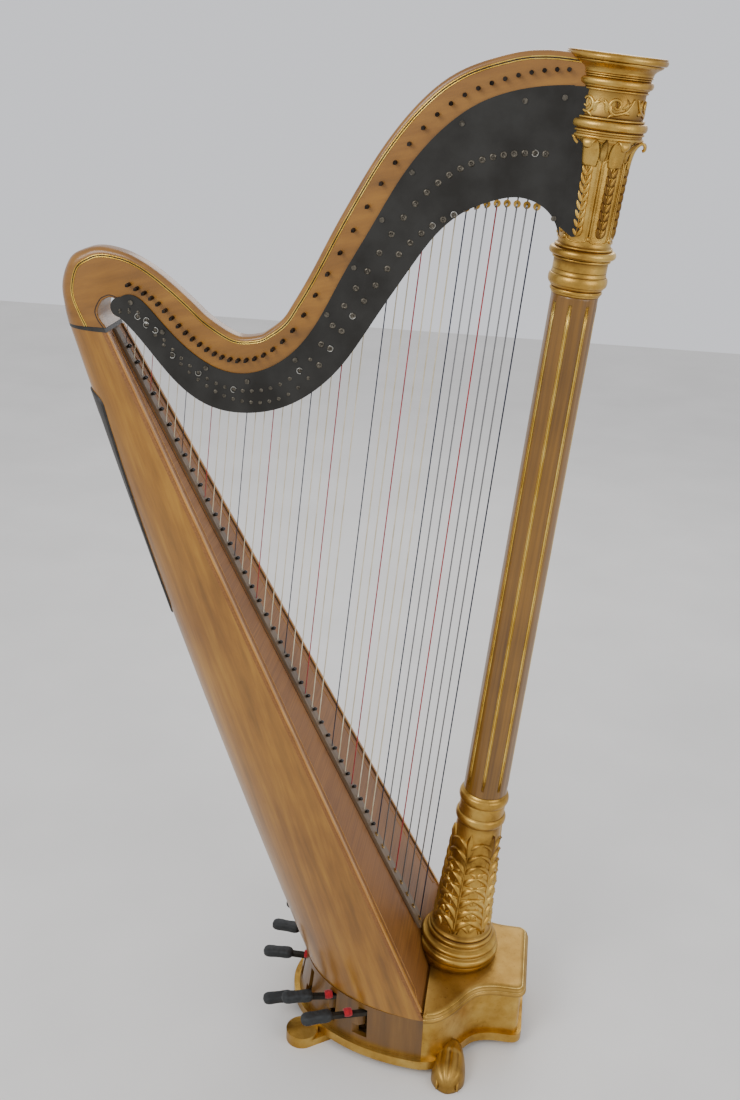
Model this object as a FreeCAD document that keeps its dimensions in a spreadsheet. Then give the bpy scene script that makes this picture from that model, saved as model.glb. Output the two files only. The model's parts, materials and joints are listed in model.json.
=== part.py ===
import FreeCAD
import Part

import math
import os

import Sketcher
from FreeCAD import Placement, Rotation, Vector

# Pedal harp. Millimetres. +X points to the column, +Y to the player's left, +Z up.
# The player sits on the -X side, behind the soundbox. Z = 0 is the floor.

doc = FreeCAD.newDocument("pedal_harp")

# ---------------------------------------------------------------- driving dimensions
DIMENSIONS = [
    ("column_x", 264.5, "column foot, ahead of the middle of the whole harp"),
    ("floor_gap", 15, "underside of the base above the floor"),
    ("base_front", 137, "front edge of the plinth ahead of the column foot"),
    ("base_half_width", 193, "half width of the base moulding"),
    ("base_rear", 272, "pedal box moulding, length behind the plinth joint"),
    ("joint_x", -45, "joint between plinth and pedal box"),
    ("moulding_height", 18, "half round moulding round the foot of the base"),
    ("wall_thickness", 10, "walls of the plinth and the pedal box"),
    ("box_top", 125, "upper rim of the pedal box"),
    ("plinth_top", 142, "upper face of the plinth board"),
    ("board_thickness", 20, "plinth board"),
    ("foot_width", 44, "front foot"),
    ("foot_reach", 226, "front foot, tip from the middle plane"),
    ("lobe_radius", 30, "rear foot"),
    ("column_lean", 4.35, "lean of the column and the strings, degrees"),
    ("ring_height", 161.5, "first ring of the column base above the floor"),
    ("column_bore", 25, "radius of the bore for the pedal rods"),
    ("shaft_start", 352, "lower end of the shaft along the column"),
    ("shaft_end", 1258, "upper end of the shaft along the column"),
    ("shaft_foot_radius", 40, "shaft at its lower end"),
    ("shaft_head_radius", 36.8, "shaft at its upper end"),
    ("disc_radius", 73.3, "round top of the capital"),
    ("disc_start", 1591, "underside of the top disc along the column"),
    ("disc_end", 1602, "upper face of the top disc along the column"),
    ("frieze_radius", 50.5, "plain drum of the capital"),
    ("astragal_radius", 61, "roll below the frieze"),
    ("panel_head_radius", 44, "tapered panels, upper end"),
    ("panel_foot_radius", 40.4, "tapered panels, lower end"),
    ("board_angle", 63.2, "soundboard above the horizontal, degrees"),
    ("first_string_x", -628, "shortest string at the soundboard"),
    ("first_string_z", 1282, "shortest string at the soundboard"),
    ("string_pitch", 28.85, "string spacing along the soundboard"),
    ("string_count", 43, "strings, F to F"),
    ("wire_count", 8, "wound bass strings"),
    ("board_half_width", 44, "soundboard half width at the first string"),
    ("board_taper", 0.111, "growth of the half width along the soundboard"),
    ("soundboard_thickness", 6, "spruce soundboard"),
    ("shell_depth", 76, "soundbox depth at the first string"),
    ("shell_growth", 0.1584, "growth of the depth along the soundboard"),
    ("shell_curve", 0.0000299, "hollow of the back line"),
    ("shell_thickness", 7, "maple shell"),
    ("seam_z", 1310, "upper end of the soundbox"),
    ("band_thickness", 8, "black band between soundbox and neck"),
    ("neck_right", -35, "player's right face of the neck"),
    ("neck_left", -3, "player's left face of the neck"),
    ("shoulder_half", 42, "half width of the shoulder at the band"),
    ("plate_thickness", 3, "action plates"),
    ("string_offset", 9, "strings outside the left plate at the top"),
    ("pin_radius", 3.2, "tuning pins"),
    ("pivot_x", 70, "pedal axle ahead of the column foot"),
    ("pivot_z", 84, "pedal axle above the floor"),
    ("axle_radius", 3, "pedal axle"),
    ("pedal_pitch", 7, "spacing of the pedal hubs on the axle"),
    ("pedal_travel", 44, "pedal travel at the box wall, flat to sharp"),
    ("shoe_length", 58, "rubber shoe of a pedal"),
    ("rod_radius", 2, "pedal rods in the column"),
]

sheet = doc.addObject("Spreadsheet::Sheet", "Dims")
for row, (alias, value, meaning) in enumerate(DIMENSIONS, start=1):
    sheet.set(f"A{row}", meaning)
    sheet.set(f"B{row}", str(value))
    sheet.setAlias(f"B{row}", alias)
doc.recompute()


def dim(alias):
    return float(sheet.get(alias))


# ---------------------------------------------------------------- frames
lean = math.radians(dim("column_lean"))
slope = math.radians(dim("board_angle"))
shift = Placement(Vector(dim("column_x"), 0, 0), Rotation())
column_frame = Placement(
    Vector(0, 0, dim("ring_height")), Rotation(Vector(0, 1, 0), dim("column_lean")))
# the soundboard's frame: x down the board, y across, z out towards the strings
board_down = Vector(math.cos(slope), 0, -math.sin(slope))
board_out = Vector(math.sin(slope), 0, math.cos(slope))
board_frame = Placement(
    Vector(dim("first_string_x"), 0, dim("first_string_z")),
    Rotation(board_down, Vector(0, 1, 0), board_out, "ZXY"))

nodes = []


def keep(thing, label):
    thing.Label = label
    nodes.append(thing)
    return thing


def feature(label, shape):
    """A sub-part whose solid is made below in the column foot's frame."""
    thing = doc.addObject("Part::Feature", label)
    thing.Shape = shape
    thing.Placement = shift.multiply(thing.Placement)
    return keep(thing, label)


# ---------------------------------------------------------------- outlines and solids
def curve(points):
    spline = Part.BSplineCurve()
    spline.interpolate(points)
    return spline.toShape()


def line(start, end):
    return Part.makeLine(start, end)


def prism(wire, direction):
    return Part.Face(wire).extrude(direction)


def block(low, high):
    size = high - low
    return Part.makeBox(size.x, size.y, size.z, low)


def above(z):
    return block(Vector(-1500, -600, z), Vector(900, 600, 3000))


def mirrored(shape):
    return shape.mirror(Vector(0, 0, 0), Vector(0, 1, 0))


def both_sides(shape):
    return Part.makeCompound([shape, mirrored(shape)])


def on_board(shape):
    shape.Placement = board_frame.multiply(shape.Placement)
    return shape


# ================================================================ base
joint_x = dim("joint_x")
gap = dim("floor_gap")
moulding_top = gap + dim("moulding_height")
box_top = dim("box_top")
plinth_top = dim("plinth_top")
board_thickness = dim("board_thickness")
wall = dim("wall_thickness")
half_width = dim("base_half_width")
rear = dim("base_rear")
board_low = plinth_top - board_thickness
# one side of the plinth: a serpentine from the pedal box to the front corner
SERPENTINE = [(-45, 193), (-22, 187), (2, 166), (24, 136), (46, 108), (72, 97), (100, 95), (117, 95)]


def plinth_outline(inset, z):
    """Closed outline of the plinth, drawn in by inset; it runs straight on behind the joint."""
    full = curve([Vector(x, y, 0) for x, y in SERPENTINE])
    points = []
    for x, y in SERPENTINE:
        tangent = full.tangentAt(full.Curve.parameter(Vector(x, y, 0)))
        points.append(Vector(x, y, z) + Vector(tangent.y, -tangent.x, 0) * inset)
    side = curve(points)
    slant = inset * math.sqrt(0.5)
    corner_end = Vector(dim("base_front") - inset, 74, z)
    corner = Part.Arc(points[-1], Vector(131 - slant, 89 - slant, z), corner_end).toShape()
    front = line(corner_end, Vector(corner_end.x, -corner_end.y, z))
    back_corner = Vector(joint_x - 40, half_width - inset, z)
    run_on = line(points[0], back_corner)
    back = line(back_corner, Vector(back_corner.x, -back_corner.y, z))
    edges = [side, corner, front, mirrored(corner), mirrored(side), mirrored(run_on), back, run_on]
    return Part.Wire(Part.__sortEdges__(edges))


def plinth_solid(inset, z_low, z_high):
    """The plinth's outline as a solid, ahead of the joint with the pedal box."""
    solid = prism(plinth_outline(inset, z_low), Vector(0, 0, z_high - z_low))
    return solid.common(block(Vector(joint_x, -300, z_low), Vector(300, 300, z_high)))


def half_oval(length, half_width, z):
    """Closed outline of a pedal box: half an ellipse behind the joint."""
    points = []
    for step in range(17):
        angle = math.pi * step / 16
        points.append(Vector(joint_x - length * math.sin(angle), half_width * math.cos(angle), z))
    return Part.Wire([curve(points), line(points[-1], points[0])])




# plinth: the top board, the wall below it and the moulding round its foot
board = plinth_solid(0, board_low, plinth_top)
behind_board = on_board(Part.makeBox(600, 500, 200, Vector(900, -250, -200 + 0.3)))
bore = Part.makeCylinder(dim("column_bore"), 300, Vector(0, 0, -100))
bore.Placement = column_frame
feature("plinth_top", board.cut([behind_board, bore]))
feature("plinth_wall", plinth_solid(9, moulding_top, board_low).cut(plinth_solid(9 + wall, 0, plinth_top)))
feature("plinth_moulding", plinth_solid(1, gap, moulding_top).cut(plinth_solid(15, 0, plinth_top)))

# floor board of the whole base
floor_front = plinth_solid(15.2, gap, moulding_top - 6)
floor_rear = prism(half_oval(rear - 15.2, half_width - 15.2, gap), Vector(0, 0, moulding_top - 6 - gap))
feature("base_floor", floor_front.fuse(floor_rear).removeSplitter())

# pedal box: a bent wooden wall that narrows upwards to meet the soundbox
PEDALS = [
    # name, hub order, slot y, direction out of the box in degrees, length outside, resting low
    ("A", -3, -166, 24, 118, False),
    ("G", -2, -134, 17, 96, False),
    ("F", -1, -84, 20, 92, True),
    ("E", 0, -35, 4, 80, False),
    ("B", 1, 35, -4, 80, False),
    ("C", 2, 84, -18, 92, False),
    ("D", 3, 134, -20, 96, False),
]
box_foot_length = rear - 11
box_head_length = 247
box_foot_half = half_width - 9
box_head_half = 187


def box_shell(inset):
    low = half_oval(box_foot_length - inset, box_foot_half - inset, moulding_top)
    high = half_oval(box_head_length - inset, box_head_half - inset, box_top)
    return Part.makeLoft([low, high], True, True)


def slot_x(y):
    """The wall's outer face at mid height, at this distance from the middle plane."""
    length = (box_foot_length + box_head_length) / 2
    across = (box_foot_half + box_head_half) / 2
    return joint_x - length * math.sqrt(1 - (y / across) ** 2)


slot_low = dim("pivot_z") - dim("pedal_travel") / 2 - 12
slot_high = dim("pivot_z") + dim("pedal_travel") / 2 + 9
slot_width = 13
notch_high = dim("pivot_z") - 13

box = box_shell(0).cut(box_shell(wall))
for name, order, y, direction, outside, low in PEDALS:
    slot = block(Vector(-34, -slot_width / 2, slot_low), Vector(30, slot_width / 2, slot_high))
    side = -1 if y < 0 else 1
    notch = block(Vector(-34, -slot_width / 2, slot_low), Vector(30, slot_width / 2, notch_high))
    notch.translate(Vector(0, side * -9, 0))
    cutter = slot.fuse(notch)
    cutter.Placement = Placement(Vector(slot_x(y), y, 0), Rotation(Vector(0, 0, 1), direction))
    box = box.cut(cutter)
feature("pedal_box", box)

oval = prism(half_oval(rear, half_width, gap), Vector(0, 0, dim("moulding_height")))
oval_room = prism(half_oval(rear - 15, half_width - 15, gap - 1), Vector(0, 0, 40))
feature("pedal_box_moulding", oval.cut(oval_room))

# feet: two paws in front and two flat lobes behind
base_block = prism(plinth_outline(0, gap), Vector(0, 0, 160)).fuse(oval.copy())
PAW = [(0, 0), (64, 0), (76, 8), (78, 20), (70, 33), (46, 46), (20, 58), (0, 58)]
foot_width = dim("foot_width")
paw_wire = Part.makePolygon([Vector(u, -foot_width / 2, z) for u, z in PAW + PAW[:1]])
paw = prism(paw_wire, Vector(0, foot_width, 0))
paw = paw.makeFillet(7, [e for e in paw.Edges if e.BoundBox.YLength < 1 and e.BoundBox.XMin > 60])
paw.Placement = Placement(Vector(0, 0, 0), Rotation(Vector(0, 0, 1), -74))
reach = paw.BoundBox.YMin
paw.translate(Vector(-2, -dim("foot_reach") - reach, 0))
under = block(Vector(-300, -300, -1), Vector(300, 300, gap))
paw_pad = paw.common(under)
paw = paw.cut(base_block).fuse(paw_pad).removeSplitter()
feature("front_feet", both_sides(paw.Solids[0] if len(paw.Solids) == 1 else paw))

lobe_radius = dim("lobe_radius")
lobe = Part.makeCylinder(lobe_radius, gap + 8, Vector(-276, -138, 0))
stem = Part.makeCylinder(lobe_radius, gap, Vector(-225, -100, 0))
bridge = Part.makeBox(64, 2 * lobe_radius, gap, Vector(0, -lobe_radius, 0))
bridge_turn = Placement(Vector(-276, -138, 0), Rotation(Vector(0, 0, 1), 36.7))
bridge.Placement = bridge_turn.multiply(bridge.Placement)
lobe = lobe.cut(oval).fuse([stem, bridge]).removeSplitter()
feature("rear_feet", both_sides(lobe))


# ================================================================ column
def bound_sketch(body, plane, points, name):
    """A closed outline of straight lines, each corner held by two driven distances."""
    sketch = body.newObject("Sketcher::SketchObject", name)
    origin = [f for f in body.Origin.OriginFeatures if f.Role == plane][0]
    sketch.AttachmentSupport = [(origin, "")]
    sketch.MapMode = "FlatFace"
    values = [(corner_value(u), corner_value(v)) for u, v in points]
    count = len(points)
    for index in range(count):
        start = Vector(values[index][0], values[index][1], 0)
        end = Vector(values[(index + 1) % count][0], values[(index + 1) % count][1], 0)
        sketch.addGeometry(Part.LineSegment(start, end), False)
    for index in range(count):
        sketch.addConstraint(Sketcher.Constraint("Coincident", index, 2, (index + 1) % count, 1))
    for index, (u, v) in enumerate(points):
        hold(sketch, "DistanceX", index, u, values[index][0])
        hold(sketch, "DistanceY", index, v, values[index][1])
    return sketch


def corner_value(expression):
    """A corner's coordinate: a number, or words of the sheet joined by + and -."""
    if not isinstance(expression, str):
        return float(expression)
    total = 0.0
    sign = 1
    for word in expression.split():
        if word in "+-":
            sign = 1 if word == "+" else -1
        else:
            total += sign * (dim(word[5:]) if word.startswith("Dims.") else float(word))
    return total


def hold(sketch, kind, index, expression, value):
    if abs(value) < 1e-9:
        axis = -2 if kind == "DistanceX" else -1
        sketch.addConstraint(Sketcher.Constraint("PointOnObject", index, 1, axis))
        return
    number = sketch.addConstraint(Sketcher.Constraint(kind, -1, 1, index, 1, value))
    if isinstance(expression, str):
        sketch.setExpression(f"Constraints[{number}]", expression)


def turned(label, profile, frame):
    """A sub-part turned about its own z axis, then set in its frame."""
    body = doc.addObject("PartDesign::Body", label)
    sketch = bound_sketch(body, "XZ_Plane", profile, label + "_profile")
    turn = body.newObject("PartDesign::Revolution", label + "_turn")
    turn.Profile = sketch
    turn.ReferenceAxis = (sketch, ["V_Axis"])
    turn.Angle = 360
    body.Placement = shift.multiply(frame)
    return body


BORE = "Dims.column_bore"
foot_blank = turned("column_foot_blank", [
    (BORE, -32), (74, -32), (74, -6), (77, -3), (77, 4), (72, 7), (73.5, 12), (70, 20), (63, 24),
    (64, 30), (60, 36),
    (58, 42), (55, 50), (53, 70), (50, 100), (48, 160), (45, 215), (41, 270), (40.5, 286), (46, 291),
    (46, 303), (41.5, 311), (41.5, 325), (45.5, 331), (45.5, 346), (42, "Dims.shaft_start"),
    (BORE, "Dims.shaft_start")], column_frame)
# the column's foot is cut flat on the plinth, behind against the soundboard and hollowed for its rib
under_plinth = doc.addObject("Part::Box", "under_plinth")
under_plinth.Length = 400
under_plinth.Width = 400
under_plinth.setExpression("Height", "Dims.plinth_top")
under_plinth.Placement = shift.multiply(Placement(Vector(-200, -200, 0), Rotation()))
behind_column = doc.addObject("Part::Box", "behind_column")
behind_column.Length = 400
behind_column.Width = 400
behind_column.Height = 200
behind_column.Placement = shift.multiply(board_frame).multiply(
    Placement(Vector(1000, -200, -200 + 0.3), Rotation()))
foot_cuts = doc.addObject("Part::MultiFuse", "foot_cuts")
foot_cuts.Shapes = [under_plinth, behind_column]
column_base = doc.addObject("Part::Cut", "column_base")
column_base.Base = foot_blank
column_base.Tool = foot_cuts
keep(column_base, "column_base")
column_shaft = turned("column_shaft", [
    (BORE, "Dims.shaft_start"), ("Dims.shaft_foot_radius", "Dims.shaft_start"),
    ("Dims.shaft_head_radius", "Dims.shaft_end"), (BORE, "Dims.shaft_end")], column_frame)
keep(column_shaft, "column_shaft")
CAPITAL = [
    (38, "Dims.shaft_end"), (38, 1266), (42, 1272), (45.5, 1278), (45.5, 1286), (41.5, 1292), (41.5, 1309),
    (47, 1312), (51.2, 1316), (51.2, 1324), (44, 1330), ("Dims.panel_foot_radius", 1337),
    ("Dims.panel_head_radius", 1468), (48, 1477), (58, 1480), (60, 1488), (57, 1496), (60, 1499),
    ("Dims.astragal_radius", 1508), ("Dims.astragal_radius", 1513), ("Dims.frieze_radius", 1520),
    ("Dims.frieze_radius", 1552), (58, 1556), (58.5, 1564), (55, 1571), (56, 1577), (67, 1585),
    (68, "Dims.disc_start")]
capital = turned("capital", [(BORE, "Dims.shaft_end")] + CAPITAL + [(BORE, "Dims.disc_start")], column_frame)
capital_disc = turned("capital_disc", [
    (0, "Dims.disc_start"), ("Dims.disc_radius", "Dims.disc_start"),
    ("Dims.disc_radius", "Dims.disc_end"), (0, "Dims.disc_end")], column_frame)
keep(capital, "capital")
keep(capital_disc, "capital_disc")


# ================================================================ soundbox
def half_breadth(down):
    return dim("board_half_width") + dim("board_taper") * down


def depth(down):
    return dim("shell_depth") + dim("shell_growth") * down - dim("shell_curve") * down * down


skin = dim("soundboard_thickness")
thickness = dim("shell_thickness")


def section(down, inset):
    """Half an ellipse below the soundboard, square to it, at this distance down it."""
    across = half_breadth(down) - inset
    deep = depth(down) - inset
    points = []
    for step in range(13):
        angle = math.pi * step / 12
        points.append(Vector(down, across * math.cos(angle), -skin - (deep - skin) * math.sin(angle)))
    return Part.Wire([curve(points), line(points[-1], points[0])])


SECTIONS = [-130, 180, 500, 850, 1180, 1480]
seam_z = dim("seam_z")
outer = Part.makeLoft([section(down, 0) for down in SECTIONS], True)
inner = Part.makeLoft([section(down, thickness) for down in SECTIONS], True)
slab = block(Vector(-1200, -400, box_top), Vector(300, 400, seam_z))
outer = on_board(outer).common(slab)
inner = on_board(inner)
shell = outer.cut(inner.common(block(Vector(-1200, -400, 0), Vector(300, 400, seam_z - 14))))


def back_slot(middle, length, width, low, high):
    """A rounded slot square to the soundboard, between two depths below it."""
    corner = Vector(middle - (length - width) / 2, -width / 2, low)
    straight = Part.makeBox(length - width, width, high - low, corner)
    ends = []
    for end in (-1, 1):
        centre = Vector(middle + end * (length - width) / 2, 0, low)
        ends.append(Part.makeCylinder(width / 2, high - low, centre))
    return on_board(straight.fuse(ends))


# sound holes down the middle of the back: distance down, length, width
SOUND_HOLES = [(150, 150, 44), (350, 170, 56), (560, 180, 70), (770, 180, 84), (980, 180, 96)]
for middle, length, width in SOUND_HOLES:
    shell = shell.cut(back_slot(middle, length, width, -400, -depth(middle) + 45))
feature("body_shell", shell)

# a dark frame round the two upper sound holes, standing a little proud of the back
frame_solid = back_slot(250, 420, 74, -400, -60)
skin_out = on_board(Part.makeLoft([section(down, -3) for down in SECTIONS], True))
skin_out = skin_out.cut(on_board(Part.makeLoft([section(down, -0.3) for down in SECTIONS], True)))
frame_solid = frame_solid.common(skin_out)
for middle, length, width in SOUND_HOLES[:2]:
    frame_solid = frame_solid.cut(back_slot(middle, length + 1, width + 1, -400, 0))
feature("sound_hole_frame", frame_solid)

# three inner ribs that keep the shell round
ribs = []
for down in (455, 665, 875):
    rib = Part.Face(section(down, thickness + 0.3)).extrude(Vector(14, 0, 0))
    room = Part.Face(section(down, thickness + 22)).extrude(Vector(14, 0, 0))
    bar = Part.makeBox(14, 2 * half_breadth(down), 40, Vector(down, -half_breadth(down), -skin - 12))
    ribs.append(on_board(rib.cut(room.cut(bar))).common(above(box_top)))
for rib in ribs:
    rib.translate(board_out * -0.3)
feature("body_ribs", Part.makeCompound(ribs))


def tapered_strip(inner_edge, outer_edge, low, high, end=1400):
    """A strip along the soundboard between two edges given as half breadths."""
    start = -130
    corners = [Vector(start, inner_edge(start), low), Vector(end, inner_edge(end), low)]
    corners += [Vector(end, outer_edge(end), low), Vector(start, outer_edge(start), low)]
    strip = prism(Part.makePolygon(corners + corners[:1]), Vector(0, 0, high - low))
    return on_board(strip)


rib_half = 8
rib_height = 5
rib_end = 1224
soundboard = tapered_strip(lambda s: -half_breadth(s), half_breadth, -skin, 0)
feature("soundboard", soundboard.common(slab))
over_plinth = block(Vector(-1200, -400, plinth_top + 0.3), Vector(300, 400, seam_z))
edging = tapered_strip(lambda s: half_breadth(s) - 7, lambda s: half_breadth(s) - 1, 0, 3)
feature("soundboard_edging", both_sides(edging.common(over_plinth)))
rib = tapered_strip(
    lambda s: -rib_half - 0.006 * s, lambda s: rib_half + 0.006 * s, 0, rib_height, rib_end)
feature("string_rib", rib.common(over_plinth))

# the black band that closes the soundbox under the neck
band_low = seam_z
band_high = seam_z + dim("band_thickness")
band = on_board(Part.makeLoft([section(down, -0.6) for down in SECTIONS], True))
band_board = tapered_strip(lambda s: -half_breadth(s) - 0.6, lambda s: half_breadth(s) + 0.6, -skin, 0.6)
band_slab = block(Vector(-1200, -400, band_low), Vector(300, 400, band_high))
feature("seam_band", band.fuse(band_board).common(band_slab).removeSplitter())

# ================================================================ neck
NECK_TOP = [
    (-716, 1318), (-723, 1372), (-702, 1424), (-652, 1444), (-597, 1433), (-533, 1393), (-474, 1343),
    (-430, 1319), (-396, 1321), (-362, 1343), (-325, 1400), (-266, 1516), (-209, 1615), (-154, 1685),
    (-99, 1728), (-30, 1755), (20, 1763), (100, 1766)]
NECK_UNDER = [
    (100, 1505), (62, 1518), (44, 1548), (-6, 1567), (-66, 1550), (-122, 1510), (-165, 1450), (-222, 1362),
    (-265, 1293), (-295, 1260), (-353, 1219), (-419, 1205), (-484, 1217), (-530, 1247), (-590, 1316),
    (-612, 1352), (-622, 1361), (-635, 1366), (-650, 1358), (-656, 1340), (-642, 1318)]
NOSE = (-634, 1352)
PLATE_TOP = [
    (-618, 1368), (-600, 1373), (-566, 1349), (-533, 1314), (-497, 1284), (-452, 1262), (-418, 1259),
    (-386, 1267), (-354, 1285), (-311, 1331), (-262, 1423), (-219, 1501), (-177, 1576), (-122, 1645),
    (-67, 1686), (-12, 1706), (40, 1714), (90, 1715)]
PLATE_UNDER = [
    (90, 1480), (64, 1492), (61, 1508), (46, 1536), (22, 1552), (-6, 1557), (-42, 1549), (-71, 1537),
    (-99, 1518), (-156, 1445), (-213, 1354), (-258, 1284), (-289, 1250), (-321, 1225), (-353, 1208),
    (-386, 1198), (-419, 1194), (-452, 1196), (-486, 1207), (-519, 1229), (-575, 1290), (-620, 1336)]


def in_plane(pairs, y):
    return [Vector(x, y, z) for x, z in pairs]


def neck_prism(y_low, y_high):
    top = curve(in_plane(NECK_TOP, y_low))
    under = curve(in_plane(NECK_UNDER[1:], y_low))
    corner = Vector(NECK_TOP[-1][0], y_low, NECK_UNDER[0][1])
    edges = [top, line(Vector(*point3(NECK_TOP[-1], y_low)), corner)]
    edges.append(line(corner, Vector(*point3(NECK_UNDER[1], y_low))))
    edges += [under, line(Vector(*point3(NECK_UNDER[-1], y_low)), Vector(*point3(NECK_TOP[0], y_low)))]
    return prism(Part.Wire(edges), Vector(0, y_high - y_low, 0))


def point3(pair, y):
    return pair[0], y, pair[1]


def plate_prism(y_low):
    top = curve(in_plane(PLATE_TOP, y_low))
    under = curve(in_plane(PLATE_UNDER[1:], y_low))
    nose = Part.Arc(Vector(*point3(PLATE_UNDER[-1], y_low)), Vector(*point3(NOSE, y_low)),
                    Vector(*point3(PLATE_TOP[0], y_low))).toShape()
    corner = Vector(*point3(PLATE_UNDER[0], y_low))
    front = line(Vector(*point3(PLATE_TOP[-1], y_low)), corner)
    heel = line(corner, Vector(*point3(PLATE_UNDER[1], y_low)))
    return prism(Part.Wire([top, front, heel, under, nose]), Vector(0, dim("plate_thickness"), 0))


def turned_blank(profile, clearance):
    """The solid that a profile sweeps round the column, with room to spare."""
    corners = [Vector(0, 0, corner_value(profile[0][1]) - clearance)]
    for radius, height in profile:
        corners.append(Vector(corner_value(radius) + clearance, 0, corner_value(height)))
    corners.append(Vector(0, 0, corner_value(profile[-1][1]) + clearance))
    blank = Part.Face(Part.makePolygon(corners + corners[:1])).revolve(Vector(0, 0, 0), Vector(0, 0, 1), 360)
    blank.Placement = column_frame
    return blank


def side_view_blank(profile, clearance):
    """The same outline cut straight across, so that flat plates end on the capital's side view."""
    right = [Vector(corner_value(r) + clearance, -80, corner_value(z)) for r, z in profile]
    left = [Vector(-corner.x, corner.y, corner.z) for corner in reversed(right)]
    blank = prism(Part.makePolygon(right + left + right[:1]), Vector(0, 160, 0))
    blank.Placement = column_frame
    return blank


DISC = [("Dims.disc_radius", "Dims.disc_start"), ("Dims.disc_radius", 1640)]
capital_blank = turned_blank(CAPITAL + DISC, 0.25)
neck_right = dim("neck_right")
neck_left = dim("neck_left")
shoulder = dim("shoulder_half")
neck_slab = neck_prism(neck_right, neck_left)
wide = neck_prism(-shoulder, shoulder)
WEDGE = [(-shoulder, band_high), (shoulder, band_high), (30, 1345), (8, 1385), (neck_left, 1420),
         (neck_left, 1500), (neck_right, 1500), (neck_right, 1420), (-shoulder + 1, 1350)]
wedge = prism(Part.makePolygon([Vector(-800, y, z) for y, z in WEDGE + WEDGE[:1]]), Vector(164, 0, 0))
neck = neck_slab.fuse(wide.common(wedge)).cut(capital_blank)
plate = dim("plate_thickness")
right_face = neck_right - plate
left_face = neck_left + plate
plate_cut = side_view_blank(CAPITAL, 0.4)


# ---------------------------------------------------------------- strings and the action
string_count = int(dim("string_count"))
wire_start = string_count - int(dim("wire_count"))
string_lean = Vector(math.sin(lean), 0, math.cos(lean))
across = Vector(0, 1, 0)
# the bridge pins follow the plate's upper edge, a little inside it
BRIDGE_LINE = [
    (-636, 1347), (-618, 1352), (-600, 1356), (-570, 1338), (-540, 1307), (-502, 1275), (-454, 1252),
    (-418, 1249), (-382, 1257), (-347, 1277), (-303, 1327), (-254, 1420), (-211, 1497), (-170, 1571),
    (-116, 1638), (-63, 1677), (-10, 1697), (60, 1705)]
# the tuning pins stand in the wood above the plate
TUNING_LINE = [
    (-625, 1394), (-590, 1384), (-552, 1357), (-520, 1324), (-488, 1299), (-447, 1280), (-422, 1278),
    (-396, 1284), (-373, 1297), (-332, 1339), (-300, 1393), (-261, 1464), (-218, 1545), (-178, 1610),
    (-136, 1661), (-96, 1693), (-42, 1718), (11, 1733), (60, 1737)]
bridge_line = curve(in_plane(BRIDGE_LINE, 0))
tuning_line = curve(in_plane(TUNING_LINE, 0))
# a disc shortens its string by one semitone, the twelfth root of two
natural_share = 1 / 2 ** (1 / 12)
sharp_share = 1 / 2 ** (2 / 12)
string_y = left_face + dim("string_offset")
pin_radius = dim("pin_radius")
bridge_radius = 1.3


def crossing(path, ray):
    return path.distToShape(ray)[1][0][0]


def cylinder(start, end, radius):
    axis = end - start
    return Part.makeCylinder(radius, axis.Length, start, axis)


def forked_disc(centre, radius, prong, spread):
    """A small brass disc with two prongs that pinch the string when it turns."""
    disc = Part.makeCylinder(radius, 1.4, Vector(centre.x, left_face + 1.2, centre.z), across)
    prongs = []
    for side in (-1, 1):
        middle = centre.x + side * spread
        low = Vector(middle - prong / 2, left_face + 2, centre.z - prong * 0.7)
        prongs.append(block(low, Vector(middle + prong / 2, string_y + 3, centre.z + prong * 0.7)))
    return disc.fuse(prongs)


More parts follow.
